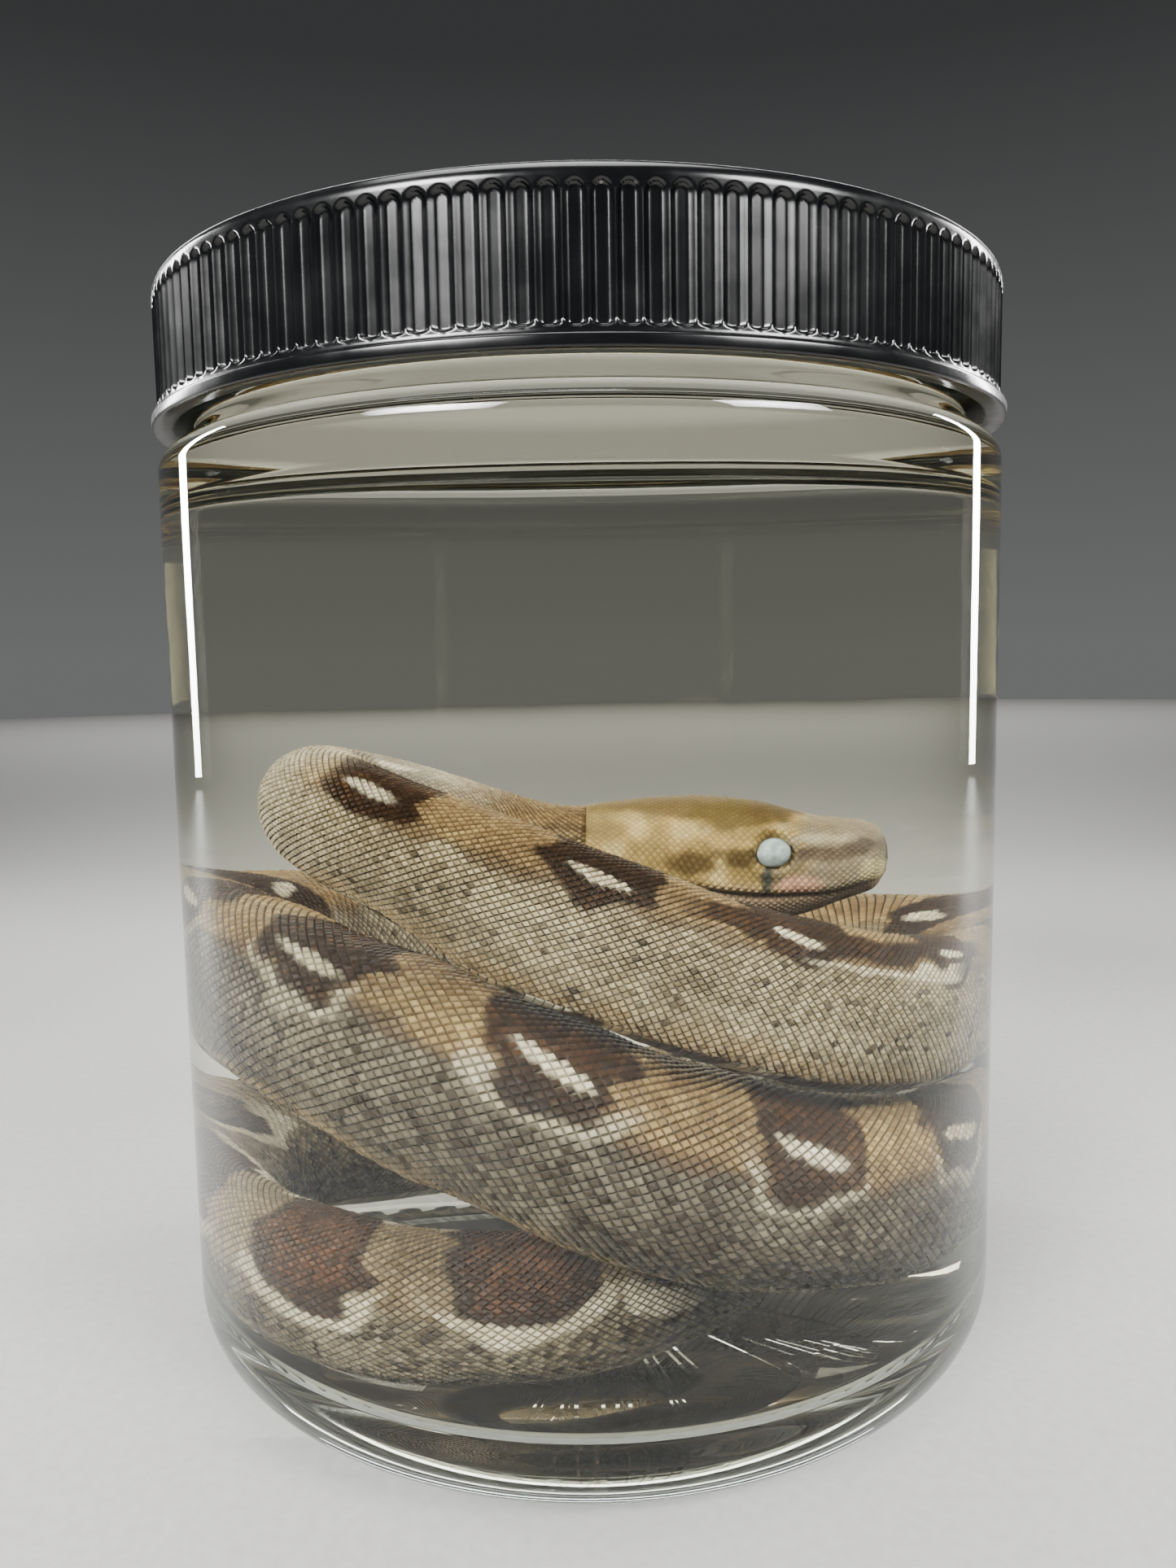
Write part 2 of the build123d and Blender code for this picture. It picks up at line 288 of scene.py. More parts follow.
def paint_rows(piece, first_material, second_material, from_row):
    """Give the faces from one outline row on a second material."""
    rows = read(piece.data.attributes["outline_row"].data, "value")
    paint(piece, first_material)
    piece.data.materials.append(second_material)
    piece.data.polygons.foreach_set("material_index", (rows > from_row).astype(int))
    piece.data.update()


def arc(centre, radius, start, end, steps):
    """Points on an arc; angles in degrees from straight out, positive upwards."""
    points = []
    for i in range(steps + 1):
        angle = math.radians(start + (end - start) * i / steps)
        points.append((centre[0] + radius * math.cos(angle), centre[1] + radius * math.sin(angle)))
    return points


def soft_step(value, low, high):
    t = np.clip((value - low) / (high - low), 0, 1)
    return t * t * (3 - 2 * t)


def window(value, low, high, soft):
    return soft_step(value, low - soft, low + soft) * (1 - soft_step(value, high - soft, high + soft))


# %% [markdown]
# ## The glass
# The jar is pressed glass with a thick floor. Round the foot runs a ring of small pips that
# keep it from skating on a wet bench. Its neck carries one turn of screw thread. Glass that
# touches fluid needs a material of its own, because light bends far less there.

# %% Glass
WALL = 2.4
FLOOR_THICKNESS = 5.2
PUSH_UP = 1.0
HEEL_RADIUS = 6.7
FLOOR_RADIUS = 4.6
STANDING_WIDTH = 2.0
SHOULDER_ROUND = 2.3
NECK_STEP = 3.0
NECK_HEIGHT = 10.1
NECK_WALL = 2.7
RIM_ROUND = 0.8
THREAD_PITCH = 4.233
THREAD_DEPTH = 1.1
THREAD_BELOW_RIM = 0.9
THREAD_ROOT = 0.26 * THREAD_PITCH
THREAD_CREST = 0.12 * THREAD_PITCH
THREAD_RUN_OUT = 0.2        # radians over which each end of the thread fades
PIPS = 84
PIP_HEIGHT = 0.28
PIP_BAND = (66, 78, 5)      # degrees down the heel: from, to and softness
STEPS_PER_PIP = 5
NECK_ROWS = 30
NECK_FOOT = 0.4             # rounding where the neck meets the shoulder
INNER_SHOULDER_ROUND = 3.0
INNER_NECK_ROUND = 2.0
NEAR = 0.01                 # millimetres within which a point counts as on a wall

outer_radius = glass_high[0] / MM
rim_height = glass_high[2] / MM
fluid_level = fluid_high[2] / MM
inner_radius = outer_radius - WALL
neck_radius = outer_radius - NECK_STEP
mouth_radius = neck_radius - NECK_WALL
shoulder_height = rim_height - NECK_HEIGHT


def cavity_wall():
    """Inside of the glass from the fluid's edge down to the middle of the floor."""
    inner_shoulder = shoulder_height - WALL
    slope = 45
    neck_centre = (mouth_radius + INNER_NECK_ROUND, inner_shoulder + NECK_STEP + 0.8)
    shoulder_centre = (inner_radius - INNER_SHOULDER_ROUND, inner_shoulder - NECK_STEP - 1.2)
    floor_centre = (inner_radius - FLOOR_RADIUS, FLOOR_THICKNESS + FLOOR_RADIUS)
    outline = arc(neck_centre, INNER_NECK_ROUND, 180, 180 + slope, 5)
    outline += arc(shoulder_centre, INNER_SHOULDER_ROUND, slope, 0, 6)
    outline += [(inner_radius, height) for height in (60, 48, 36, 24, 14)]
    outline += arc(floor_centre, FLOOR_RADIUS, 0, -90, 12)
    outline += [(radius, FLOOR_THICKNESS) for radius in (22, 12, 0)]
    return outline


def glass_outline():
    """The whole outline from the middle underneath, and the row at which the fluid starts."""
    standing_inside = outer_radius - HEEL_RADIUS - STANDING_WIDTH
    outline = [(0, PUSH_UP), (14, PUSH_UP)]
    outline += [(standing_inside - 1.4, PUSH_UP), (standing_inside - 0.8, 0.85 * PUSH_UP)]
    outline += [(standing_inside - 0.3, 0.2 * PUSH_UP), (standing_inside + 0.1, 0)]
    outline += arc((outer_radius - HEEL_RADIUS, HEEL_RADIUS), HEEL_RADIUS, -90, 0, 26)
    outline += [(outer_radius, height) for height in (20, 35, 50, 65)]
    shoulder_centre = (outer_radius - SHOULDER_ROUND, shoulder_height - SHOULDER_ROUND)
    outline += arc(shoulder_centre, SHOULDER_ROUND, 0, 90, 10)
    outline += arc((neck_radius + NECK_FOOT, shoulder_height + NECK_FOOT), NECK_FOOT, 270, 180, 3)
    top = rim_height - RIM_ROUND
    first = shoulder_height + 4 * NECK_FOOT
    outline += [(neck_radius, first + (top - first) * i / NECK_ROWS) for i in range(NECK_ROWS)]
    outline += arc((neck_radius - RIM_ROUND, top), RIM_ROUND, 0, 90, 5)
    outline += arc((mouth_radius + RIM_ROUND, top), RIM_ROUND, 90, 180, 5)
    outline += [(mouth_radius, 84.0), (mouth_radius, fluid_level + 0.9), (mouth_radius, fluid_level)]
    dry_rows = len(outline) - 1
    return outline + cavity_wall(), dry_rows


def thread_and_pips(angle, row, radius, height):
    """Raise the screw ridge on the neck and the pips round the foot."""
    start = rim_height - THREAD_BELOW_RIM - THREAD_ROOT - THREAD_PITCH
    from_ridge = np.abs(height - start - THREAD_PITCH * angle / math.tau)
    ends = soft_step(angle, 0, THREAD_RUN_OUT)
    ends = ends * (1 - soft_step(angle, math.tau - THREAD_RUN_OUT, math.tau - 0.01))
    ridge = np.clip((THREAD_ROOT - from_ridge) / (THREAD_ROOT - THREAD_CREST), 0, 1) * ends
    on_neck = (np.abs(radius - neck_radius) < NEAR) & (height > shoulder_height + NECK_FOOT + 0.1)
    radius = radius + THREAD_DEPTH * ridge * on_neck
    heel_centre = outer_radius - HEEL_RADIUS
    round_heel = np.degrees(np.arctan2(HEEL_RADIUS - height, radius - heel_centre))
    outside = row < 34          # rows up to the foot of the straight wall
    on_heel = (height < HEEL_RADIUS) & (radius > heel_centre + NEAR) & outside
    pip = np.maximum(np.cos(PIPS * angle), 0) ** 1.5 * window(round_heel, *PIP_BAND)
    pip = pip * on_heel * PIP_HEIGHT
    radius = radius + pip * np.cos(np.radians(round_heel))
    height = np.maximum(height - pip * np.sin(np.radians(round_heel)), 0.0)
    return radius, height


def build_glass():
    outline, dry_rows = glass_outline()
    piece = lathe("glass_jar_wall", outline, PIPS * STEPS_PER_PIP, thread_and_pips, 35)
    paint_rows(piece, jar_glass, wetted_glass, dry_rows)
    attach(piece, "jar")
    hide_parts("glass_jar")
    print("glass", len(piece.data.polygons), "faces")


build_glass()

# %% [markdown]
# ## The fluid
# The CAD fluid has the snake's room cut out of it, which a renderer would see as a thin film
# of air round the skin. The fluid shown is whole. Only its surface bends light, with a small
# meniscus where it climbs the glass; its sides and foot rest on the wetted glass, which
# already does the bending, so they are left fully clear.

# %% Fluid
FLUID_STEPS = 256
MENISCUS = 0.9


def clear_side():
    material = new_material("fluid_against_glass")
    colour = ramp(material, noise(material, 40.0), [(0.3, "fdfcf8"), (0.7, "fefdfb")])
    return finish_material(material, add(material, "ShaderNodeBsdfTransparent", {"Color": colour}))


def fluid_outline():
    """The fluid's outline from the middle of its surface, and the rows of that surface."""
    surface = [(0, fluid_level), (15, fluid_level), (mouth_radius - 3, fluid_level)]
    surface += arc((mouth_radius - MENISCUS, fluid_level + MENISCUS), MENISCUS, -90, -8, 8)
    return surface + [(mouth_radius, fluid_level + 0.8)] + cavity_wall(), len(surface)


fluid_points, surface_rows = fluid_outline()
fluid = lathe("preserving_fluid_body", fluid_points, FLUID_STEPS)
paint_rows(fluid, alcohol, clear_side(), surface_rows)
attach(fluid, "jar")
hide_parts("preserving_fluid")
print("fluid", len(fluid.data.polygons), "faces")

# %% [markdown]
# ## The snake's route
# The trunk is one long tube that winds down the jar in two and a half turns. Its route is a
# handful of keys, given the way a taxidermist would think of them: how far round the jar,
# how far out towards the glass, how high, and how thick. A cubic B-spline blends them.

# %% Route of the trunk
HALF_GIRTH = 8.0            # millimetres, at the thickest
WALL_CLEARANCE = 0.4
FLOOR_CLEARANCE = 0.1
NAPE_Y = -12.9
NAPE_GIRTH = 0.48
fluid_radius = fluid_high[0] / MM
floor_height = fluid_low[2] / MM

# Turn in degrees, reach towards the glass, height over the floor and girth, both in half girths.
nape_reach = -NAPE_Y / (fluid_radius - WALL_CLEARANCE - NAPE_GIRTH * HALF_GIRTH)
# The tail lies in the room that the coil against the glass leaves inside it.
coil_room = 1 - 2 * HALF_GIRTH / (fluid_radius - WALL_CLEARANCE)
ROUTE = [
    (2, nape_reach, 5.01, NAPE_GIRTH), (-14, nape_reach, 5.03, 0.46), (-33, 0.46, 5.23, 0.48),
    (-48, 0.68, 5.55, 0.54), (-47, 0.93, 5.65, 0.60), (-24, 1.0, 5.28, 0.64),
    (4, 1.0, 4.51, 0.66), (34, 1.0, 3.73, 0.69), (68, 1.0, 3.23, 0.72),
    (105, 1.0, 3.09, 0.77), (145, 1.0, 3.14, 0.82), (185, 1.0, 3.25, 0.87),
    (225, 1.0, 3.46, 0.93), (268, 1.0, 3.68, 0.98), (305, 1.0, 3.62, 1.0),
    (342, 1.0, 3.14, 1.0), (372, 1.0, 2.2, 1.0), (400, 1.0, 1.75, 0.96),
    (434, 1.0, 1.41, 0.92), (475, 1.0, 1.2, 0.90), (515, 1.0, 1.05, 0.88),
    (555, 1.0, 0.95, 0.86), (595, 1.0, 0.88, 0.85), (635, 1.0, 0.86, 0.84),
    (668, 1.0, 0.84, 0.80), (698, 0.84, 0.78, 0.75), (738, 0.86 * coil_room, 0.72, 0.65),
    (805, 0.63 * coil_room, 0.74, 0.55), (880, 0.61 * coil_room, 0.95, 0.45),
    (960, 0.63 * coil_room, 1.5, 0.36), (1040, 0.59 * coil_room, 2.0, 0.25),
    (1110, 0.5 * coil_room, 2.5, 0.15), (1160, 0.38 * coil_room, 2.8, 0.08),
]


def b_spline(keys, places):
    """Values of a uniform cubic B-spline that starts and ends on its first and last keys."""
    keys = np.array(keys, float)
    padded = np.vstack([2 * keys[0] - keys[1], keys, 2 * keys[-1] - keys[-2]])
    whole = np.clip(places.astype(int), 0, len(keys) - 2)
    t = (places - whole)[:, None]
    weights = [(1 - t) ** 3, 3 * t ** 3 - 6 * t ** 2 + 4, -3 * t ** 3 + 3 * t ** 2 + 3 * t + 1, t ** 3]
    return sum(w * padded[whole + k] for k, w in enumerate(weights)) / 6


FINE = 4000
places = np.linspace(0, len(ROUTE) - 1, FINE)
turn, reach, rise, share = b_spline(ROUTE, places).T
girth = share * HALF_GIRTH
out = reach * (fluid_radius - WALL_CLEARANCE - girth)
centre = np.stack([
    out * np.sin(np.radians(turn)),
    -out * np.cos(np.radians(turn)),
    floor_height + FLOOR_CLEARANCE + HALF_GIRTH * rise,
], axis=1)
steps = np.linalg.norm(np.diff(centre, axis=0), axis=1)
along = np.concatenate([[0], np.cumsum(steps)])
trunk_length = along[-1]
tangent = np.gradient(centre, along, axis=0)
tangent /= np.linalg.norm(tangent, axis=1)[:, None]
print("trunk length in millimetres", round(trunk_length, 1))

# %% [markdown]
# ## Which way the back faces
# A snake that settles in a jar keeps its back up, leaning a little out or in from coil to
# coil. The frame across the trunk is the straight-up direction made square to the trunk,
# then rolled by an angle that changes slowly.

# %% Frame across the trunk
# Place on the route and roll in degrees; positive leans the back out towards the glass.
ROLL = [
    (0, 0), (4.5, 0), (6, 8), (8, 8), (11, 0), (14.2, -4), (15.4, 10), (16.6, 27),
    (18.5, 20), (21, 5), (23.5, 28), (25.2, 28), (27, 0), (32, 0),
]
SMOOTHING = 100             # samples on each side that an average takes in


def smoothed(values):
    weights = np.ones(2 * SMOOTHING + 1) / (2 * SMOOTHING + 1)
    return np.convolve(np.pad(values, SMOOTHING, mode="edge"), weights, mode="valid")


roll = smoothed(np.radians(np.interp(places, [p for p, _ in ROLL], [r for _, r in ROLL])))
up = np.array([0.0, 0.0, 1.0])
back = up - tangent * (tangent @ up)[:, None]
back /= np.linalg.norm(back, axis=1)[:, None]
side = np.cross(back, tangent)
outward = np.sign(np.sum(side * centre * [1, 1, 0], axis=1))
outward[outward == 0] = 1.0
lean = roll * smoothed(outward)
rolled_back = back * np.cos(lean)[:, None] + side * np.sin(lean)[:, None]
rolled_side = side * np.cos(lean)[:, None] - back * np.sin(lean)[:, None]


def sampled(table, where):
    """A column or a three-column table of the route, read at distances along the trunk."""
    if table.ndim == 1:
        return np.interp(where, along, table)
    return np.stack([np.interp(where, along, table[:, k]) for k in range(table.shape[1])], axis=-1)


# %% [markdown]
# ## Scales, made flat
# A snake's back and flanks carry rows of small scales that meet in a diamond lattice, and
# its belly one row of wide shields. All of it is easier to cut flat, like a stamped sheet,
# and to roll up afterwards. Poking every face of a grid and dissolving the old edges leaves
# exactly that lattice; insetting each diamond by itself raises a scale with a groove round it.

# %% Sheet of scales
ROWS = 56                   # cells round the trunk
BELLY_ROWS = 12             # of them, under the belly shields
SCALE_AT_THICKEST = 0.85    # millimetres, cell length at the thickest
SMALLEST_SCALE = 0.42
GIRTH_POWER = 0.75          # how strongly a scale's length follows the girth
GROOVE = 0.15               # groove round a scale, share of a cell
SHIELD_GROOVE = 0.12
RAISED = 0.1                # height of a raised face while the sheet is flat


def cell_table():
    """Distance along the trunk at each cell edge: cells are shorter where the trunk is thin."""
    edges = [0.0]
    while edges[-1] < trunk_length:
        here = sampled(girth, edges[-1]) / HALF_GIRTH
        edges.append(edges[-1] + max(SMALLEST_SCALE, SCALE_AT_THICKEST * here ** GIRTH_POWER))
    return np.array(edges) * trunk_length / edges[-1]


cell_edges = cell_table()
CELLS = len(cell_edges) - 1
print("cells along", CELLS, "rows", ROWS)


def pick(piece, kind, chosen):
    """Select elements of a mesh by a list of True and False, then enter edit mode."""
    select_only(piece)
    mesh = piece.data
    for group in (mesh.vertices, mesh.edges, mesh.polygons):
        group.foreach_set("select", np.zeros(len(group), bool))
    getattr(mesh, kind).foreach_set("select", chosen)
    modes = {"vertices": "VERT", "edges": "EDGE", "polygons": "FACE"}
    bpy.context.tool_settings.mesh_select_mode = [modes[kind] == m for m in ("VERT", "EDGE", "FACE")]
    bpy.ops.object.mode_set(mode="EDIT")
    bpy.ops.mesh.select_mode(type=modes[kind])


half_back = (ROWS - BELLY_ROWS) / 2


def sheet_of_scales(name, cells, rows, bare_from):
    """A flat sheet, one unit per cell; rows further out than bare_from stay plain."""
    piece = flat_grid(name, cells, rows)
    spots = positions(piece)
    spots[:, 0] = (spots[:, 0] + 0.5) * cells
    spots[:, 1] *= rows
    move_points(piece, spots)
    corners = len(spots)

    centres = face_centres(piece)
    pick(piece, "polygons", np.abs(centres[:, 1]) < bare_from)
    bpy.ops.mesh.poke()
    bpy.ops.object.mode_set(mode="OBJECT")
    ends = read(piece.data.edges, "vertices", 2, int)
    old = (ends < corners).all(axis=1)
    x, y = positions(piece)[ends].mean(axis=1)[:, :2].T
    margin = 0.1
    inside = (np.abs(y) < bare_from - margin) & (x > margin) & (x < cells - margin)
    pick(piece, "edges", old & inside)
    bpy.ops.mesh.dissolve_edges(use_verts=False)
    bpy.ops.object.mode_set(mode="OBJECT")
    return piece


skin = sheet_of_scales("skin_sheet", CELLS, ROWS, half_back)
print("flat sheet", len(skin.data.polygons), "faces")


def raise_scales(piece, bare_from, shields=True):
    """Inset each diamond by itself, then the belly shields, every other one at a time."""
    centres = face_centres(piece)
    on_back = np.abs(centres[:, 1]) < bare_from
    pick(piece, "polygons", on_back)
    bpy.ops.mesh.inset(use_individual=True, thickness=GROOVE, depth=RAISED, use_even_offset=True)
    bpy.ops.object.mode_set(mode="OBJECT")
    for odd in (0, 1) if shields else ():
        centres = face_centres(piece)
        flat = np.abs(centres[:, 2]) < 0.01
        belly = (np.abs(centres[:, 1]) > bare_from) & flat
        own_turn = (np.floor(centres[:, 0]).astype(int) % 2) == odd
        whole = np.abs(centres[:, 0] - np.floor(centres[:, 0]) - 0.5) < 0.2
        pick(piece, "polygons", belly & own_turn & whole)
        bpy.ops.mesh.inset(use_individual=False, use_boundary=False, thickness=SHIELD_GROOVE, depth=RAISED)
        bpy.ops.object.mode_set(mode="OBJECT")


raise_scales(skin, half_back)
print("with raised scales", len(skin.data.polygons), "faces")

# %% [markdown]
# ## Which scale a point belongs to
# Real snakes are coloured scale by scale: a pattern's edge runs along grooves, never across
# a scale. So every face looks up the middle of its own scale, and all the pattern below is
# worked out there. In a diamond lattice the nearest middle is found by adding the two
# offsets, not by the straight distance.

# %% Scale lookup
def scale_middles(points):
    x, y = points[:, 0], points[:, 1]
    lying = np.stack([np.floor(x) + 0.5, np.round(y)], axis=1)
    standing = np.stack([np.round(x), np.floor(y) + 0.5], axis=1)
    far_lying = np.abs(points[:, :2] - lying).sum(axis=1)
    far_standing = np.abs(points[:, :2] - standing).sum(axis=1)
    middles = np.where((far_lying < far_standing)[:, None], lying, standing)
    belly = np.abs(y) > half_back
    shield = np.stack([np.floor(x) + 0.5, np.full(len(x), ROWS / 2)], axis=1)
    return np.where(belly[:, None], shield, middles), belly


def scale_random(middles, salt):
    """A number from 0 to 1 that is the same for every face of one scale."""
    mixed = np.sin(middles[:, 0] * 12.9898 + middles[:, 1] * 78.233 + salt * 37.719) * 43758.5453
    return mixed - np.floor(mixed)


def smooth_random(x, y, salt, cell):
    """Soft blotches: random values on a coarse lattice, blended between its points."""
    gx, gy = x / cell, y / cell
    ix, iy = np.floor(gx), np.floor(gy)
    fx, fy = gx - ix, gy - iy
    fx, fy = fx * fx * (3 - 2 * fx), fy * fy * (3 - 2 * fy)

    def corner(dx, dy):
        return scale_random(np.stack([ix + dx, iy + dy], axis=1), salt)

    low = corner(0, 0) * (1 - fx) + corner(1, 0) * fx
    high = corner(0, 1) * (1 - fx) + corner(1, 1) * fx
    return low * (1 - fy) + high * fy


# %% [markdown]
# ## The pattern
# A young boa wears dark saddles down its back with tan patches between them. Each saddle
# holds a pale bar on either side, and towards the tail the saddles grow reddish brown middles
# and cream borders. The flanks are grey beige with dark flecks. Each mark is a formula of the
# distance along the trunk and the angle round it from the middle of the back.

# %% Pattern masks
# Distance along the trunk in millimetres, and the number of the saddle whose middle lies there.
SADDLES = [(0, -2.1), (29.6, 0), (44.5, 1), (58, 2), (197, 11), (212.8, 12), (229.5, 13),
           (365.3, 22), (378, 23), (465, 31)]
SADDLE_HALF_LENGTH = 4.4
SADDLE_HALF_ANGLE = 60.0
BAR_ANGLE = 33.0
BAR_HALF_WIDTH = 6.0
BAR_SLANT = 1.5             # degrees to the millimetre
BAR_WANDER = 0.35           # share of the edges' wander that the pale bars follow
EDGE_WANDER = 15.0          # degrees
END_WANDER = 2.4            # millimetres
BLOTCH = 2.1
DEGREES_PER_MM = 7.0
# Stretches of the trunk in millimetres from the nape: from, to, and softness if both ends fade.
BEHIND_HEAD = (9, 15)
FIRST_BEND = (9, 25, 3)
STRIPE = (50, 79, 2)
PALE_LINE = (59, 74, 1.5)
GREYING = (120, 190)
BORDERED = (150, 190)
FLECKED = (150, 200)
TAILWARD = (280, 340)
# Bands round the trunk, in degrees from the middle of the back.
BORDER_STARTS = (34, 48)
TAN_ENDS = (44, 58)
FLANK_STARTS = (52, 64)
BELLY_STARTS = (118, 136)
FLANK_LINE = 52
STRIPE_LINE = 30


def pattern(spots, belly, middles):
    """Masks from 0 to 1 for each kind of mark, at places given on the flat sheet."""
    place = np.interp(spots[:, 0], np.arange(CELLS + 1), cell_edges)
    angle = spots[:, 1] / ROWS * 360
    arc_place = angle / DEGREES_PER_MM
    across = np.abs(angle) + EDGE_WANDER * (smooth_random(place, arc_place, 3, BLOTCH) - 0.5)
    number_at = np.interp(along, [s for s, _ in SADDLES], [n for _, n in SADDLES])
    number = np.interp(place, along, number_at)
    period = np.interp(place, along, 1 / np.gradient(number_at, along))
    even_offset = (number - np.round(number)) * period
    offset = even_offset + END_WANDER * (smooth_random(place, arc_place, 5, BLOTCH) - 0.5)
    size = np.clip(sampled(girth, place) / HALF_GIRTH, 0.35, 1) ** 0.35
    tailward = soft_step(place, *TAILWARD)
    half_length = SADDLE_HALF_LENGTH * size * (1 + 0.12 * tailward)
    round_ends = np.abs(offset / half_length) ** 2.4 + np.abs(across / SADDLE_HALF_ANGLE) ** 3.2
    reach = round_ends ** 0.4
    first_bend = window(place, *FIRST_BEND)
    from_line = np.abs(across - FLANK_LINE)
    masks = {}
    along_back = window(place, *STRIPE) * (1 - soft_step(np.abs(across - STRIPE_LINE), 11, 17))
    behind_head = 1 - soft_step(place, *BEHIND_HEAD)
    masks["dark"] = np.maximum(1 - soft_step(reach, 0.95, 1.06), along_back) * (1 - behind_head)
    greying = soft_step(place, *GREYING)
    bar_half = 2.0 + 0.9 * greying
    bar_across = BAR_WANDER * across + (1 - BAR_WANDER) * np.abs(angle)
    bar_offset = BAR_WANDER * offset + (1 - BAR_WANDER) * even_offset
    slanted = bar_across - BAR_ANGLE - BAR_SLANT * bar_offset
    bar = np.hypot(bar_offset / bar_half, slanted / BAR_HALF_WIDTH)
    masks["pale"] = (1 - soft_step(bar, 0.72, 1.1)) * (1 - tailward) * (1 - behind_head)
    border_place = np.abs(reach - 1.11 - 0.05 * tailward)
    border = (1 - soft_step(border_place, 0.04 + 0.07 * tailward, 0.09 + 0.1 * tailward))
    bordered = 0.55 * soft_step(place, *BORDERED) * (1 - tailward) + tailward
    border = border * soft_step(across, *BORDER_STARTS) * bordered
    pale_line = window(place, *PALE_LINE) * (1 - soft_step(from_line, 2.2, 4.5))
    masks["pale"] = np.maximum.reduce([masks["pale"], border, 0.9 * pale_line, 0.42 * first_bend])
    masks["red"] = (1 - soft_step(reach, 0.62, 0.86)) * (0.12 + 0.88 * tailward)
    masks["red"] = masks["red"] * np.where(tailward < 0.5, soft_step(np.abs(reach - 0.6), 0.0, 0.3), 1.0)
    masks["tan"] = (1 - soft_step(across, *TAN_ENDS)) * (1 - 0.8 * first_bend) * (1 - 0.55 * tailward)
    masks["tan"] = np.maximum(masks["tan"], 0.8 * behind_head)
    outline = (1 - soft_step(from_line, 2.5, 6.5)) * (1 - first_bend) * (1 - tailward)
    masks["rim"] = 0.55 * outline * (1 - masks["dark"])
    masks["belly"] = np.maximum(belly, soft_step(across, *BELLY_STARTS) * 0.8)
    flank = soft_step(across, *FLANK_STARTS)
    mottle = smooth_random(place, arc_place, 7, 1.5)
    few = 0.05 + 0.36 * tailward + 0.16 * soft_step(place, *FLECKED) * (1 - tailward)
    fleck = scale_random(middles, 1) < few * (0.2 + 1.7 * mottle)
    masks["fleck"] = fleck * flank * (1 - 0.6 * masks["belly"]) * (0.45 + 0.55 * scale_random(middles, 6))
    masks["tone"] = 0.5 * scale_random(middles, 2) + 0.5 * smooth_random(place, arc_place, 9, 4.0)
    masks["grey"] = greying * (1 - 0.5 * tailward)
    return masks


# %% [markdown]
# ## Rolled up into a trunk
# The flat sheet is wrapped round the route. The raised middle of each scale tips up towards
# the tail, the way scales overlap, and long soft dents keep the tube from looking turned on
# a lathe.

# %% Wrap
SCALE_RELIEF = 0.17         # millimetres at the thickest
SCALE_TILT = 0.16
SCALE_HOLD = 0.55           # how far one scale keeps to one colour
WRINKLE = 0.07
WRINKLE_PITCH = 1.3
WRINKLED = ((52, 92, 6), (220, 262, 6))
SAG = 1.45                  # the upper coil's underside settles on the coil below
SAGGING = (36, 78, 8)
# Long soft dents: waves to the millimetre along, waves round, and where they start.
DENTS = ((0.31, 2, 0.0), (0.17, -1, 1.3), (0.53, 3, 0.4))
DENT_DEPTH = 0.012


def wrap(piece):
    """Wrap the sheet round the route and return the middle of the scale of each face."""
    flat = positions(piece)
    raised = flat[:, 2] > 0.05
    middles, belly = scale_middles(flat)
    face_middles, _ = scale_middles(face_centres(piece))
    spots = flat[:, :2] + (middles - flat[:, :2]) * SCALE_HOLD
    masks = pattern(spots, belly, middles)

    place = np.interp(flat[:, 0], np.arange(CELLS + 1), cell_edges)
    angle = flat[:, 1] / ROWS * math.tau
    thick = sampled(girth, place)
    scale_size = (thick / HALF_GIRTH) ** 0.6
    relief = np.where(raised, 1.0 + (scale_random(middles, 4) - 0.5) * 0.5, 0.0) * SCALE_RELIEF
    tip = np.where(raised & ~belly, (flat[:, 0] - middles[:, 0]) * SCALE_TILT, 0.0)
    from_back = np.abs(np.degrees(angle))
    dents = sum(np.sin(place * rate + turns * angle + start) for rate, turns, start in DENTS)
    hollow = DENT_DEPTH * (dents - 2.5) - 0.05 * soft_step(from_back, 125, 175)
    folds = sum(window(place, *stretch) for stretch in WRINKLED) * window(from_back, 70, 140, 14)
    wrinkles = WRINKLE * folds * np.sin(math.tau * place / WRINKLE_PITCH)
    sag = SAG * window(place, *SAGGING) * soft_step(from_back, 95, 150)
    radius = thick * (1 + hollow) + (relief + tip - SCALE_RELIEF) * scale_size + wrinkles + sag
    across = (sampled(rolled_back, place) * np.cos(angle)[:, None]
              + sampled(rolled_side, place) * np.sin(angle)[:, None])
    wrapped = sampled(centre, place) + across * radius[:, None]

    # The groove mask marks the faces between scales, which the skin material darkens as painted shade.
    for name, values in {"groove": ~raised, **masks}.items():
        write(piece, name, values)
    move_points(piece, wrapped * MM)
    return face_middles


skin_middles = wrap(skin)
print("wrapped", len(skin.data.vertices), "vertices")

# %% [markdown]
# ## One skin, several pieces
# The skin is cut into pieces between whole scales, so no seam shows: first the sheet's two
# long edges are welded under the belly, then each stretch is separated and its open ends
# are filled.

# %% Cut into stretches
# Name, last place on the route, and the CAD nodes that it stands for.
STRETCHES = [
    ("skin_forebody", 8.6, ("neck", "forebody")),
    ("skin_midbody", 14.0, ("midbody",)),
    ("skin_hindbody", 19.0, ("hindbody",)),
    ("skin_lower_coil", 24.6, ("lower_coil",)),
    ("skin_tail", len(ROUTE) - 1, ("tail",)),
]


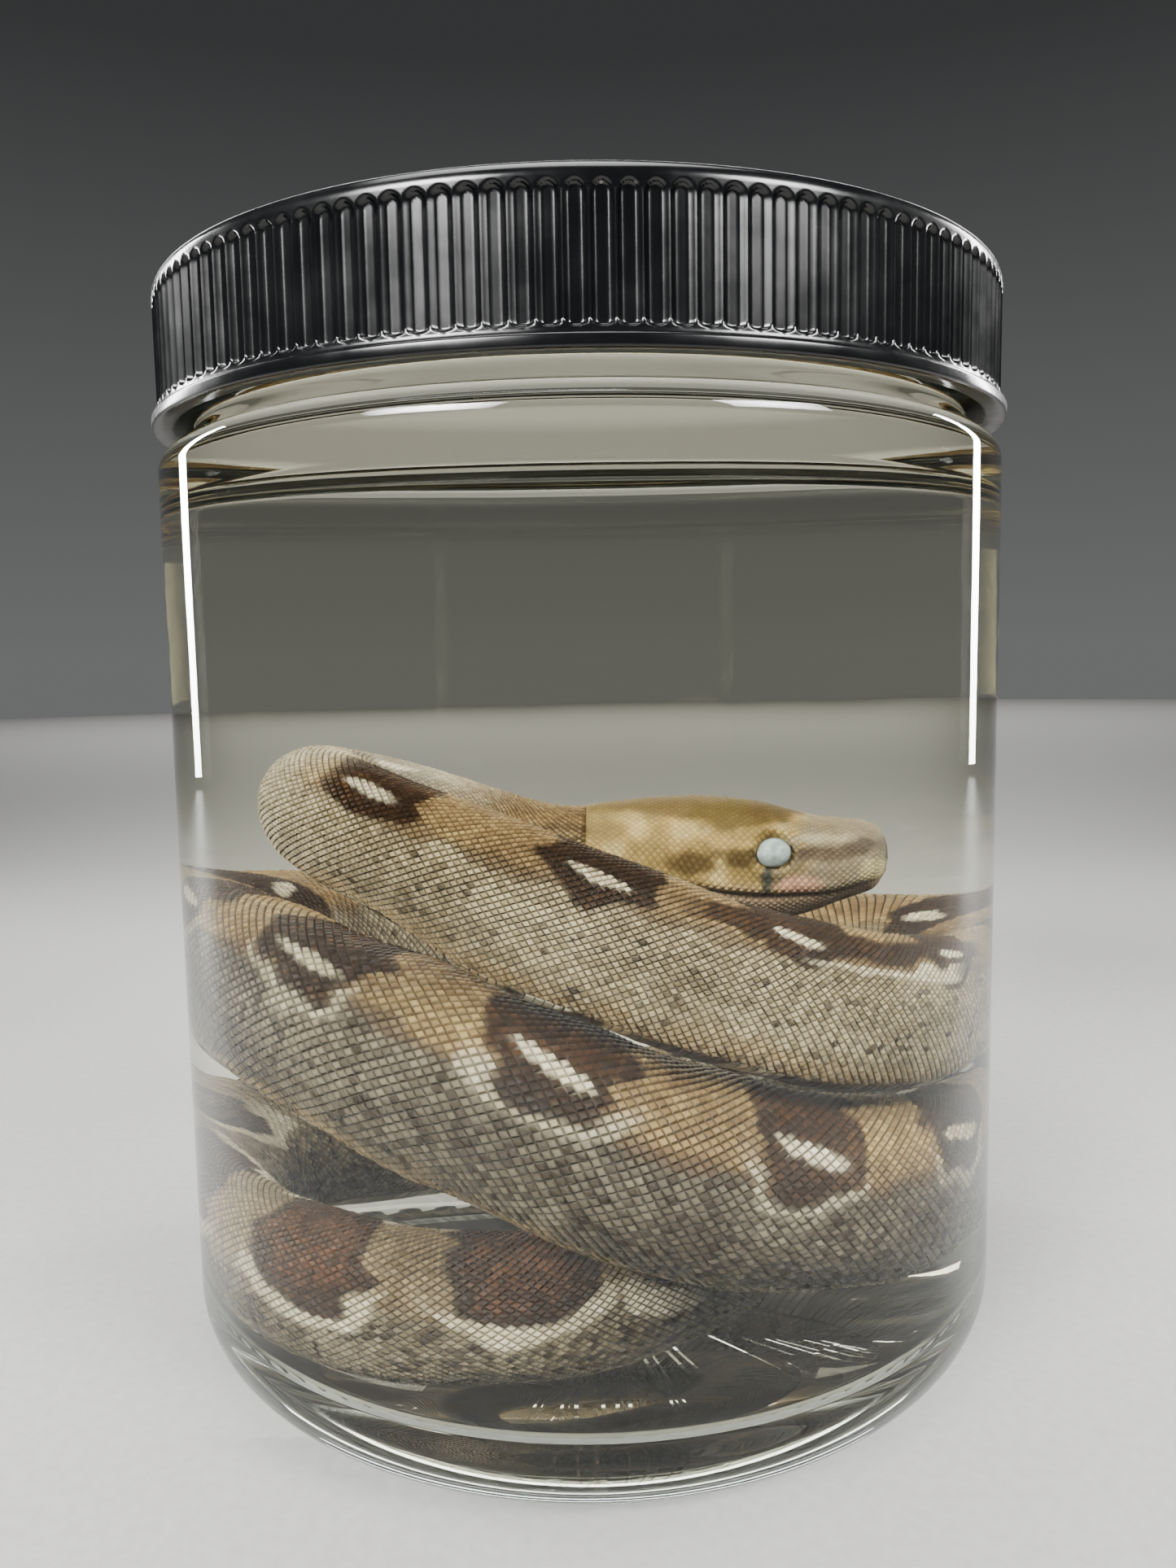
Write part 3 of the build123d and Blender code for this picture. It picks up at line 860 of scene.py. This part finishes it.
def cut_stretches(sheet):
    stretch_ends = [np.interp(place, places, along) for _, place, _ in STRETCHES]
    where = np.interp(skin_middles[:, 0], np.arange(CELLS + 1), cell_edges)
    which = np.minimum(np.searchsorted(stretch_ends, where), len(STRETCHES) - 1)
    write(sheet, "stretch", which, "INT", "FACE")
    made = []
    for index, (name, _, nodes) in enumerate(STRETCHES):
        piece = sheet.copy()
        piece.data = sheet.data.copy()
        piece.name = name
        bpy.context.scene.collection.objects.link(piece)
        pick(piece, "polygons", read(piece.data.attributes["stretch"].data, "value", 1, int) != index)
        bpy.ops.mesh.delete(type="FACE")
        weld(piece, fill=True)
        bpy.ops.object.shade_smooth_by_angle(angle=math.radians(55))
        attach(piece, "jar")
        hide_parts(*nodes)
        made.append(piece)
        piece.data.calc_loop_triangles()
        print(name, len(piece.data.loop_triangles), "triangles")
    bpy.data.objects.remove(sheet)
    return made


trunk_pieces = cut_stretches(skin)

# %% [markdown]
# ## Skin
# Keratin scales over soft skin: satin, not shiny, with painted shade darkening the grooves between them.
# The masks choose between the pigments, and a fine noise keeps any two scales apart.

# %% Skin material
IMMERSED_SHINE = 0.12       # fluid's index is near the skin's, so little light is mirrored


def attribute(material, name):
    return add(material, "ShaderNodeAttribute", None, None, attribute_name=name).outputs["Fac"]


def blend_colour(material, factor, first, second, blend_type="MIX"):
    """Mix two colours, each given as a hex value or as a socket."""
    made = add(material, "ShaderNodeMix", {0: factor}, None, data_type="RGBA", blend_type=blend_type)
    for index, colour in ((6, first), (7, second)):
        if isinstance(colour, str):
            made.inputs[index].default_value = linear(colour)
        else:
            material.node_tree.links.new(colour, made.inputs[index])
    return made.outputs[2]


def times(material, first, second):
    made = add(material, "ShaderNodeMath", None, None, operation="MULTIPLY")
    for index, value in enumerate((first, second)):
        if isinstance(value, (int, float)):
            made.inputs[index].default_value = value
        else:
            material.node_tree.links.new(value, made.inputs[index])
    return made.outputs[0]


# Each pigment runs from its dark scales to its pale ones.
TONES = {
    "warm_flank": [(0.15, "736750"), (0.5, "978a70"), (0.85, "b5a98e")],
    "grey_flank": [(0.15, "463f37"), (0.5, "625a4e"), (0.85, "82796a")],
    "tan": [(0.1, "69543a"), (0.55, "8b7450"), (0.9, "ab9468")],
    "dark": [(0.1, "1b1008"), (0.6, "2f1e10"), (0.95, "50371f")],
    "red": [(0.1, "221409"), (0.5, "3c2514"), (0.95, "6f4a30")],
    "pale": [(0.1, "b0a48b"), (0.9, "e3dcca")],
    "belly": [(0.1, "937b57"), (0.9, "bfaa84")],
}
PLAIN = {"rim": "4a3521", "fleck": "2e241a"}
LAYERS = ("tan", "rim", "belly", "fleck", "dark", "red", "pale")


def scaled_skin():
    material = new_material("preserved_scaled_skin")
    grain = noise(material, 2600.0, 4.0, 0.65)
    clouds = noise(material, 260.0, 3.0)
    tone = attribute(material, "tone")
    inks = {name: ramp(material, tone, stops) for name, stops in TONES.items()}
    inks.update(PLAIN)
    colour = blend_colour(material, attribute(material, "grey"), inks["warm_flank"], inks["grey_flank"])
    for name in LAYERS:
        colour = blend_colour(material, attribute(material, name), colour, inks[name])
    colour = blend_colour(material, times(material, clouds, 0.45), colour, colour, "MULTIPLY")
    # Painted shade: the grooves between scales are mixed 72 per cent towards near-black 1d150d.
    groove = times(material, attribute(material, "groove"), 0.72)
    shaded = blend_colour(material, groove, colour, "1d150d")
    return finish_surface(material, {"Base Color": shaded, "Normal": bumped(material, grain, 0.25, 0.0001)},
                          {"Roughness": 0.42, "IOR": 1.45, "Specular IOR Level": IMMERSED_SHINE})


skin_material = scaled_skin()
for piece in trunk_pieces:
    paint(piece, skin_material)

# %% [markdown]
# ## The head
# The head is cut from a sheet of its own, with scales half as large, and wrapped round a
# blunt boa profile: flat crown, brow over the eye, straight upper lip and a chin that draws
# back under the snout. The sheet parts along the mouth line, between whole scales, into the
# skull and the lower jaw.

# %% Head shape
HEAD_CELLS = 40
SKULL_ROWS = 40
JAW_ROWS = 24
PALATE_ROWS = 3             # rows on each side that close the piece across the mouth
HEAD_LENGTH = 20.0
HEAD_PITCH = -3.0
HEAD_OVERLAP = 0.03         # share of its length, back under the neck's skin
HEAD_RELIEF = 0.09
# Share of the length from nape to nose, then half width, height over the axis, depth under it.
HEAD_KEYS = [
    (-0.05, 3.7, 3.7, 4.0), (0.06, 4.2, 4.1, 4.3), (0.18, 4.7, 4.5, 4.6), (0.32, 5.0, 4.75, 4.8),
    (0.46, 4.9, 4.65, 4.9), (0.57, 4.4, 4.3, 4.95), (0.66, 3.8, 3.7, 4.8), (0.75, 3.3, 3.3, 4.2),
    (0.84, 3.0, 3.2, 3.3), (0.92, 2.6, 3.0, 2.7), (0.97, 2.2, 2.5, 2.2), (1.0, 1.9, 2.0, 1.8),
]
MOUTH_KEYS = [(-0.05, -1.0), (0.26, -1.6), (0.40, -2.2), (0.58, -2.6), (0.80, -2.5), (1.0, -1.3)]
SNOUT_ROUND = 0.055         # share of the length over which the nose rounds off
EYE_PLACE = (0.60, 0.92)    # share of the length, height over the axis
NOSTRIL_PLACE = (0.945, 1.5)
# Ridge or crease along the face: rise, height over the axis and softness in millimetres,
# then from, to and softness in shares of the length.
BROW = (0.28, 2.6, 0.5, 0.50, 0.70, 0.05)
LORE = (-0.22, 0.9, 0.7, 0.68, 0.92, 0.04)
CROWN_SQUARE = 0.80         # under 1 squares the section off
CHIN_SQUARE = 0.92
MEAN_HALF_WIDTH = 3.6

pitch = math.radians(HEAD_PITCH)
heading = np.array([math.cos(pitch), 0.0, math.sin(pitch)])
head_up = np.array([-math.sin(pitch), 0.0, math.cos(pitch)])
head_across = np.array([0.0, 1.0, 0.0])
nape = centre[0]


def keyed(keys, column, value):
    """Smooth value between keys: straight interpolation, averaged over a short stretch."""
    shares = [key[0] for key in keys]
    values = [key[column] for key in keys]
    return sum(np.interp(value + shift, shares, values) for shift in (-0.03, -0.015, 0, 0.015, 0.03)) / 5


def head_point(share, turn):
    """Across, up and along for a share of the length and a turn from the crown, in radians."""
    along_head = share * HEAD_LENGTH
    nose = np.clip((share - (1 - SNOUT_ROUND)) / SNOUT_ROUND, 0, 1)
    closing = np.sqrt(np.clip(1 - nose ** 2, 0, 1))
    half_width = keyed(HEAD_KEYS, 1, share) * closing
    rise = np.where(np.cos(turn) > 0, keyed(HEAD_KEYS, 2, share), keyed(HEAD_KEYS, 3, share)) * closing
    squareness = np.where(np.cos(turn) > 0, CROWN_SQUARE, CHIN_SQUARE)
    across = half_width * np.sign(np.sin(turn)) * np.abs(np.sin(turn)) ** squareness
    up = rise * np.sign(np.cos(turn)) * np.abs(np.cos(turn)) ** squareness
    return across, up, along_head


def mouth_turn(share):
    """The turn from the crown at which the head's side meets the mouth line."""
    drop = np.clip(-keyed(MOUTH_KEYS, 1, share) / keyed(HEAD_KEYS, 3, share), 0, 0.95)
    return math.pi / 2 + np.arcsin(drop ** (1 / CHIN_SQUARE))


def bell(value, middle, soft):
    return np.exp(-((value - middle) / soft) ** 2)


def ridge(share, up, rise, height, soft, *stretch):
    return rise * bell(up, height, soft) * window(share, *stretch)


def wrap_head(piece, rows, is_jaw):
    """Wrap a sheet over the skull or, from the other side, under the jaw."""
    flat = positions(piece)
    raised = flat[:, 2] > 0.05
    share = (1 + HEAD_OVERLAP) * flat[:, 0] / HEAD_CELLS - HEAD_OVERLAP
    outer_rows = rows / 2 - PALATE_ROWS
    over = np.clip(flat[:, 1] / outer_rows, -1, 1)
    inward = np.clip((np.abs(flat[:, 1]) - outer_rows) / PALATE_ROWS, 0, 1)
    meets = mouth_turn(share)
    turn = math.pi + over * (math.pi - meets) if is_jaw else over * meets
    across, up, along_head = head_point(share, turn)
    from_eye = np.hypot((share - EYE_PLACE[0]) * HEAD_LENGTH, up - EYE_PLACE[1])
    beside = soft_step(np.abs(across), 1.5, 2.5)
    socket = -0.55 * (1 - soft_step(from_eye, 0.9, 1.45)) + 0.16 * bell(from_eye, 1.7, 0.35)
    brow, lore = ridge(share, up, *BROW), ridge(share, up, *LORE)
    mouth = keyed(MOUTH_KEYS, 1, share)
    lip = -0.30 * bell(up, mouth, 0.28) * soft_step(share, 0.2, 0.3)
    lip_roll = 0.15 * bell(up, mouth + 0.8, 0.45) * soft_step(share, 0.25, 0.4)
    from_nostril = np.hypot((share - NOSTRIL_PLACE[0]) * HEAD_LENGTH, up - NOSTRIL_PLACE[1])
    nostril = -0.4 * bell(from_nostril, 0, 0.07 ** 0.5)
    jaw_in = -0.15 if is_jaw else 0.0
    face = beside * (socket + brow + lore + nostril) + lip + lip_roll + jaw_in
    swell = 1 + face / MEAN_HALF_WIDTH
    lift = np.where(raised, HEAD_RELIEF, 0.0)
    length = np.maximum(np.hypot(across, up), 0.05)
    across, up_out = across * swell + across / length * lift, up * swell + up / length * lift
    across = across * (1 - inward)
    placed = (nape + along_head[:, None] * heading + across[:, None] * head_across
              + up_out[:, None] * head_up)

    # The groove mask marks the faces between scales, which the head material darkens as painted shade.
    write(piece, "groove", ~raised)
    write(piece, "pigment", head_pigment(share, up, turn, flat, is_jaw), "FLOAT_COLOR")
    move_points(piece, placed * MM)


# %% [markdown]
# ### Head markings
# The colours are laid on like soft spots of paint, each with a middle, two radii and a
# colour: dark smudges behind the eye, a drip under it, and a pink and a cream patch on the lip.

# %% Head markings
# Colour, share of the length, height over the axis, and two radii, all but the share in mm.
HEAD_SPOTS = [
    ("8d8272", 0.86, 0.8, 4.4, 4.2),
    ("6e5c3c", 0.22, 4.6, 5.5, 1.2), ("64552f", 0.47, 3.7, 3.0, 1.3), ("5b4a2a", 0.60, 3.9, 2.2, 0.9),
    ("b3a78e", 0.76, 1.9, 2.4, 0.35), ("57493d", 0.77, 0.75, 2.5, 0.75), ("4f453c", 0.90, 1.3, 1.2, 0.7),
    ("c3b78f", 0.95, -0.5, 0.9, 0.9), ("665d52", 0.99, 1.4, 0.9, 0.6),
    ("cfb287", 0.48, -1.95, 2.8, 0.60), ("c99c88", 0.685, -1.60, 1.75, 0.85),
    ("3d2f15", 0.495, 0.45, 1.55, 0.80), ("4a3a1e", 0.335, 0.05, 1.85, 0.95),
    ("6f5c38", 0.41, 0.85, 0.9, 0.5), ("7a6a55", 0.60, -0.9, 0.9, 0.8),
    ("2c3836", 0.583, -1.45, 0.42, 1.75),
]
JAW_COLOUR = "a78f79"
THROAT_COLOUR = "c2aa8c"


def head_pigment(share, up, turn, flat, is_jaw):
    side = smooth_random(share * HEAD_LENGTH, turn * 4, 21, 1.4)
    colour = np.tile(np.array(linear("b0955f")), (len(share), 1))

    def lay(code, mask):
        colour[:] = colour * (1 - mask[:, None]) + np.array(linear(code)) * mask[:, None]

    lay("8c7747", 0.75 * soft_step(side, 0.50, 0.72))
    lay("cdbb85", 0.6 * (1 - soft_step(side, 0.2, 0.42)))
    crown = soft_step(up + 0.8 * (side - 0.5), 2.9, 4.1) * (1 - soft_step(share, 0.62, 0.72))
    lay("67542f", 0.8 * crown)
    lay("7d6a42", 0.7 * (1 - soft_step(share, 0.02, 0.14)) * soft_step(up, 0.5, 2.5))
    wander = 0.5 * (smooth_random(share * HEAD_LENGTH, turn * 4, 23, 0.7) - 0.5)
    for code, spot_share, height, long_radius, high_radius in HEAD_SPOTS:
        far = np.hypot((share - spot_share) * HEAD_LENGTH / long_radius, (up - height) / high_radius)
        lay(code, 0.9 * (1 - soft_step(far + wander, 0.6, 1.2)))
    below = np.full(len(share), 1.0 if is_jaw else 0.0)
    lay(JAW_COLOUR, below)
    lay(THROAT_COLOUR, 0.7 * below * (1 - soft_step(share, 0.35, 0.7)))
    lay("77685b", 0.6 * below * soft_step(share, 0.62, 0.8))
    own_scale, _ = scale_middles(flat)
    shade = 0.88 + 0.24 * scale_random(own_scale, 25)
    colour[:, :3] *= shade[:, None]
    return colour


def head_skin():
    material = new_material("preserved_head_skin")
    fine = noise(material, 3200.0, 4.0, 0.7)
    spread = noise(material, 900.0, 3.0)
    pigment = add(material, "ShaderNodeAttribute", None, None, attribute_name="pigment").outputs["Color"]
    colour = blend_colour(material, times(material, spread, 0.7), pigment, "8f8878", "MULTIPLY")
    # Painted shade: the grooves between head scales are mixed 45 per cent towards dark brown 3a2e1e.
    groove = times(material, attribute(material, "groove"), 0.45)
    colour = blend_colour(material, groove, colour, "3a2e1e")
    return finish_surface(material, {"Base Color": colour, "Normal": bumped(material, fine, 0.3, 0.0001)},
                          {"Roughness": 0.38, "IOR": 1.45, "Specular IOR Level": IMMERSED_SHINE})


def build_head():
    material = head_skin()
    for name, node, rows, is_jaw in (
        ("head_skin_upper", "cranium", SKULL_ROWS, False),
        ("head_skin_jaw", "lower_jaw", JAW_ROWS, True),
    ):
        piece = sheet_of_scales(name, HEAD_CELLS, rows, rows / 2 - PALATE_ROWS)
        raise_scales(piece, rows / 2 - PALATE_ROWS, shields=False)
        wrap_head(piece, rows, is_jaw)
        weld(piece, fill=True)
        bpy.ops.object.shade_smooth()
        paint(piece, material)
        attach(piece, "jar")
        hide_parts(node)
        print(name, len(piece.data.polygons), "faces")


build_head()

# %% [markdown]
# ## Eyes
# Alcohol turns a lens white within weeks. Each eye is a flattened ball with a slightly
# raised cornea, milky blue, with only a faint trace of the upright pupil left, and painted
# shade round its rim where it sinks into the socket.

# %% Eyes
# Shares of the eye's radius.
CORNEA_RISE = 0.10
CORNEA_WIDTH = 0.45
BALL_DEPTHS = (0.62, 0.8)   # out of the head and into it


def eye_material():
    material = new_material("clouded_eye")
    haze = noise(material, 1500.0, 4.0)
    milk = ramp(material, haze, [(0.3, "7a888d"), (0.55, "9eabb0"), (0.75, "c4cccd")])
    colour = blend_colour(material, times(material, attribute(material, "pupil"), 0.25), milk, "39464b")
    # Painted shade: the ball darkens to grey-brown 4a4a40 round its rim, where it sinks into the socket.
    colour = blend_colour(material, attribute(material, "eye_rim_shade"), colour, "4a4a40")
    return finish_surface(material, {"Base Color": colour},
                          {"Roughness": 0.15, "IOR": 1.42, "Specular IOR Level": 0.3})


def build_eyes():
    material = eye_material()
    for side, node in ((1, "left_eye"), (-1, "right_eye")):
        low, high = (Vector(corner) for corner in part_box(node))
        middle = (low + high) / 2
        radius = (high.x - low.x) / 2
        bpy.ops.object.select_all(action="DESELECT")
        bpy.ops.mesh.primitive_uv_sphere_add(segments=72, ring_count=48, radius=1.0)
        eye = bpy.context.object
        eye.name = node + "_ball"
        ball = positions(eye)
        outward = ball[:, 1] * side
        from_middle = np.hypot(ball[:, 0], ball[:, 2])
        cornea = CORNEA_RISE * bell(from_middle, 0, CORNEA_WIDTH) * (outward > 0)
        depth = np.where(outward > 0, *BALL_DEPTHS) * ball[:, 1] + side * cornea
        placed = np.stack([ball[:, 0] * 0.98, depth, ball[:, 2] * 0.95], axis=1) * radius + np.array(middle)
        for name, mask in (
            ("pupil", np.exp(-((ball[:, 0] / 0.16) ** 2 + (ball[:, 2] / 0.6) ** 2) ** 2)),
            # Painted shade round the rim of the ball, where it meets the socket.
            ("eye_rim_shade", soft_step(from_middle, 0.86, 1.0)),
        ):
            write(eye, name, mask)
        move_points(eye, placed)
        select_only(eye)
        bpy.ops.object.shade_smooth()
        paint(eye, material)
        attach(eye, "jar")
        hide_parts(node)


build_eyes()

# %% [markdown]
# ## The cap
# A moulded cap has flutes cut between narrow upright ribs. Each flute runs out in a small
# pointed arch under the smooth top edge, and again above the foot flange. The plain cap is
# turned on the lathe with ten steps to a rib, then the flutes are pressed in by formula.

# %% Cap shape
RIB_COUNT = 136
STEPS_PER_RIB = 10
RIB_DEPTH = 0.42
FLANGE_HEIGHT = 1.0
FLANGE_STEP = 0.5
RIB_FOOT = 0.35             # plain stretch between the flange and the flutes
RIB_HEAD = 1.2              # plain stretch above them
TOP_ARCH = 0.6              # height of the arch that ends a flute
FOOT_ARCH = 0.35
CAP_BORDER = 4.0
PANEL_DEPTH = 0.3
CAP_ROOF = 1.5
CAP_WALL = 1.3
CAP_EDGE_ROUND = 1.1
FLANGE_TOP_ROUND = 0.3
FLANGE_FOOT_ROUND = 0.25
BORE_BEVEL = 0.3
ROOF_BEVEL = 0.5
# Rows of points below and above the two ends of the flutes, close together where an arch is.
HEAD_ROWS = (0, 0.1, 0.2, 0.32, 0.46, 0.62, 0.8, 1.0, 1.25)
FOOT_ROWS = (0.75, 0.55, 0.4, 0.28, 0.16, 0.06, 0)

cap_bottom = cap_low[2] / MM
cap_top = cap_high[2] / MM
flange_radius = cap_high[0] / MM
rib_radius = flange_radius - FLANGE_STEP
bore_radius = rib_radius - CAP_WALL
flute_foot = cap_bottom + FLANGE_HEIGHT + RIB_FOOT
flute_head = cap_top - RIB_HEAD


def cap_outline():
    panel_radius = rib_radius - CAP_BORDER
    panel = cap_top - PANEL_DEPTH
    flange_top = cap_bottom + FLANGE_HEIGHT
    outline = [(0, panel), (panel_radius - 0.4, panel), (panel_radius - 0.1, panel + 0.2 * PANEL_DEPTH)]
    outline += [(panel_radius + 0.1, panel + 0.8 * PANEL_DEPTH), (panel_radius + 0.4, cap_top)]
    outline += arc((rib_radius - CAP_EDGE_ROUND, cap_top - CAP_EDGE_ROUND), CAP_EDGE_ROUND, 90, 0, 8)
    outline += [(rib_radius, flute_head - row) for row in HEAD_ROWS]
    outline += [(rib_radius, flute_foot + row) for row in FOOT_ROWS]
    outline += [(rib_radius, flange_top + 0.18), (rib_radius + 0.06, flange_top + 0.04)]
    top_centre = (flange_radius - FLANGE_TOP_ROUND, flange_top - FLANGE_TOP_ROUND)
    foot_centre = (flange_radius - FLANGE_FOOT_ROUND, cap_bottom + FLANGE_FOOT_ROUND)
    outline += arc(top_centre, FLANGE_TOP_ROUND, 90, 0, 4)
    outline += arc(foot_centre, FLANGE_FOOT_ROUND, 0, -90, 4)
    outline += [(bore_radius + BORE_BEVEL, cap_bottom), (bore_radius, cap_bottom + BORE_BEVEL)]
    roof = cap_top - CAP_ROOF
    return outline + [(bore_radius, roof - ROOF_BEVEL), (bore_radius - ROOF_BEVEL, roof), (0, roof)]


def press_flutes(angle, row, radius, height):
    phase = angle / math.tau * RIB_COUNT
    from_valley = np.abs(phase - np.round(phase)) * 2
    outer = np.abs(radius - rib_radius) < NEAR
    head_line = flute_head - TOP_ARCH * from_valley ** 1.6
    foot_line = flute_foot + FOOT_ARCH * from_valley ** 2
    inside = soft_step(head_line - height, 0, 0.32) * soft_step(height - foot_line, 0, 0.22)
    press = RIB_DEPTH * (1 - soft_step(from_valley, 0.5, 0.96)) * inside * outer
    return radius - press, height


def cap_material():
    """Glossy black, with fine upright scratches and a few specks of dust."""
    material = new_material("black_moulded_plastic")
    wear = noise(material, 180.0, 5.0, 0.6)
    stretched = add(material, "ShaderNodeMapping", {"Vector": object_point(material)},
                    {"Scale": (900.0, 900.0, 60.0)})
    scratches = add(material, "ShaderNodeTexNoise", {"Vector": stretched.outputs["Vector"]},
                    {"Scale": 1.0, "Detail": 2.0}).outputs["Fac"]
    cells = add(material, "ShaderNodeTexVoronoi", {"Vector": object_point(material)}, {"Scale": 420.0})
    rounded = [(0.0, "ffffff"), (0.035, "ffffff"), (0.06, "000000")]
    speck = ramp(material, cells.outputs["Distance"], rounded)
    chosen = ramp(material, cells.outputs["Color"], [(0.80, "000000"), (0.84, "ffffff")])
    dust = times(material, speck, chosen)
    colour = blend_colour(material, times(material, dust, 0.7), "050607", "a7a49c")
    rough = add(material, "ShaderNodeMapRange", {"Value": wear},
                {"From Min": 0.3, "From Max": 0.7, "To Min": 0.16, "To Max": 0.28})
    links = {"Base Color": colour, "Roughness": rough.outputs["Result"]}
    links["Normal"] = bumped(material, scratches, 0.06, 0.0001)
    return finish_surface(material, links, {"IOR": 1.49})


cap = lathe("screw_cap_shell", cap_outline(), RIB_COUNT * STEPS_PER_RIB, press_flutes, 50)
paint(cap, cap_material())
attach(cap, "cap")
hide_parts("screw_cap")
print("cap", len(cap.data.polygons), "faces")

# %% [markdown]
# ## Liner
# A white foam disc with a thin clear film seals the mouth. Both keep their CAD shape; the
# foam shows its fine cells, and the film a slight ripple.

# %% Liner materials
def foam_material():
    material = new_material("white_liner_foam")
    cells = add(material, "ShaderNodeTexVoronoi", {"Vector": object_point(material)},
                {"Scale": 2500.0}).outputs["Distance"]
    colour = ramp(material, cells, [(0.0, "f1f0ec"), (0.7, "d9d7d0")])
    return finish_surface(material, {"Base Color": colour, "Normal": bumped(material, cells, 0.4, 0.0002)},
                          {"Roughness": 0.8, "IOR": 1.49})


def film_material():
    material = new_material("liner_film")
    ripple = noise(material, 250.0)
    colour = ramp(material, ripple, [(0.3, "d6d7d4"), (0.7, "e6e6e2")])
    return finish_surface(material, {"Base Color": colour, "Normal": bumped(material, ripple, 0.2, 0.0003)},
                          {"Roughness": 0.2, "IOR": 1.5})


paint(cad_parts["liner_foam"], foam_material())
paint(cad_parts["liner_film"], film_material())

# %% [markdown]
# ## Floor and light
# A plain pale floor meets plain soft studio air. Two tall soft boxes behind give the long
# bright lines down the glass, one overhead lights the cap's rim, and a wide one washes the
# floor at the back. The cap would shade the snake from above, so its two key lights stand
# low in front, one on each side.

# %% Stage
FLOOR_REACH = 1.3
HORIZON_COLOUR, OVERHEAD_COLOUR = "9c9d9d", "545556"
OVERHEAD_FROM = 0.42        # height in the sky, from 0 to 1, at which it is fully dark
AIR_STRENGTH = 0.45


def soft_box(name, place, aim, size, size_y, power, spread):
    """An oblong lamp: size in metres, power in watts and spread in degrees."""
    data = bpy.data.lights.new(name, "AREA")
    data.shape = "RECTANGLE"
    data.size, data.size_y = size, size_y
    data.energy = power
    data.spread = math.radians(spread)
    lamp = bpy.data.objects.new(name, data)
    bpy.context.scene.collection.objects.link(lamp)
    lamp.location = place
    direction = Vector(aim) - Vector(place)
    lamp.rotation_euler = direction.to_track_quat("-Z", "Y").to_euler()


def floor_material():
    material = new_material("pale_floor_paint")
    colour = ramp(material, noise(material, 900.0, 3.0), [(0.3, "9c9b98"), (0.7, "a4a3a0")])
    return finish_surface(material, {"Base Color": colour}, {"Roughness": 0.6})


def pale_floor():
    bpy.ops.object.select_all(action="DESELECT")
    bpy.ops.mesh.primitive_circle_add(vertices=128, radius=FLOOR_REACH, fill_type="NGON")
    floor = bpy.context.object
    floor.name = "floor"
    paint(floor, floor_material())


pale_floor()
soft_box("left_strip", (-0.40, 0.24, 0.17), (0, 0, 0.05), 0.04, 0.34, 0.45, 60)
soft_box("right_strip", (0.40, 0.24, 0.17), (0, 0, 0.05), 0.04, 0.34, 0.45, 60)
soft_box("back_wash", (0, 1.10, 0.60), (0, 0.75, 0), 1.20, 0.30, 5.0, 120)
soft_box("top_box", (-0.05, 0.02, 0.60), (0, 0, 0.04), 0.40, 0.40, 0.8, 80)
soft_box("left_key", (-0.36, -0.44, 0.40), (0, 0, 0.035), 0.40, 0.18, 1.0, 36)
soft_box("right_key", (0.44, -0.34, 0.40), (0, 0, 0.035), 0.30, 0.18, 0.5, 36)


def studio_air():
    """A plain wall of soft light: paler towards the horizon, dark overhead."""
    world = bpy.data.worlds.new("studio_air")
    world.use_nodes = True
    view = add(world, "ShaderNodeTexCoord").outputs["Generated"]
    split = add(world, "ShaderNodeSeparateXYZ", {0: view})
    sky = ramp(world, split.outputs["Z"], [(0.0, HORIZON_COLOUR), (OVERHEAD_FROM, OVERHEAD_COLOUR)])
    background = world.node_tree.nodes["Background"]
    world.node_tree.links.new(sky, background.inputs["Color"])
    background.inputs["Strength"].default_value = AIR_STRENGTH
    bpy.context.scene.world = world


studio_air()
scene = bpy.context.scene
scene.cycles.max_bounces = 24
scene.cycles.transmission_bounces = 20
scene.cycles.transparent_max_bounces = 24
scene.cycles.glossy_bounces = 8
scene.cycles.caustics_reflective = False
scene.cycles.caustics_refractive = False
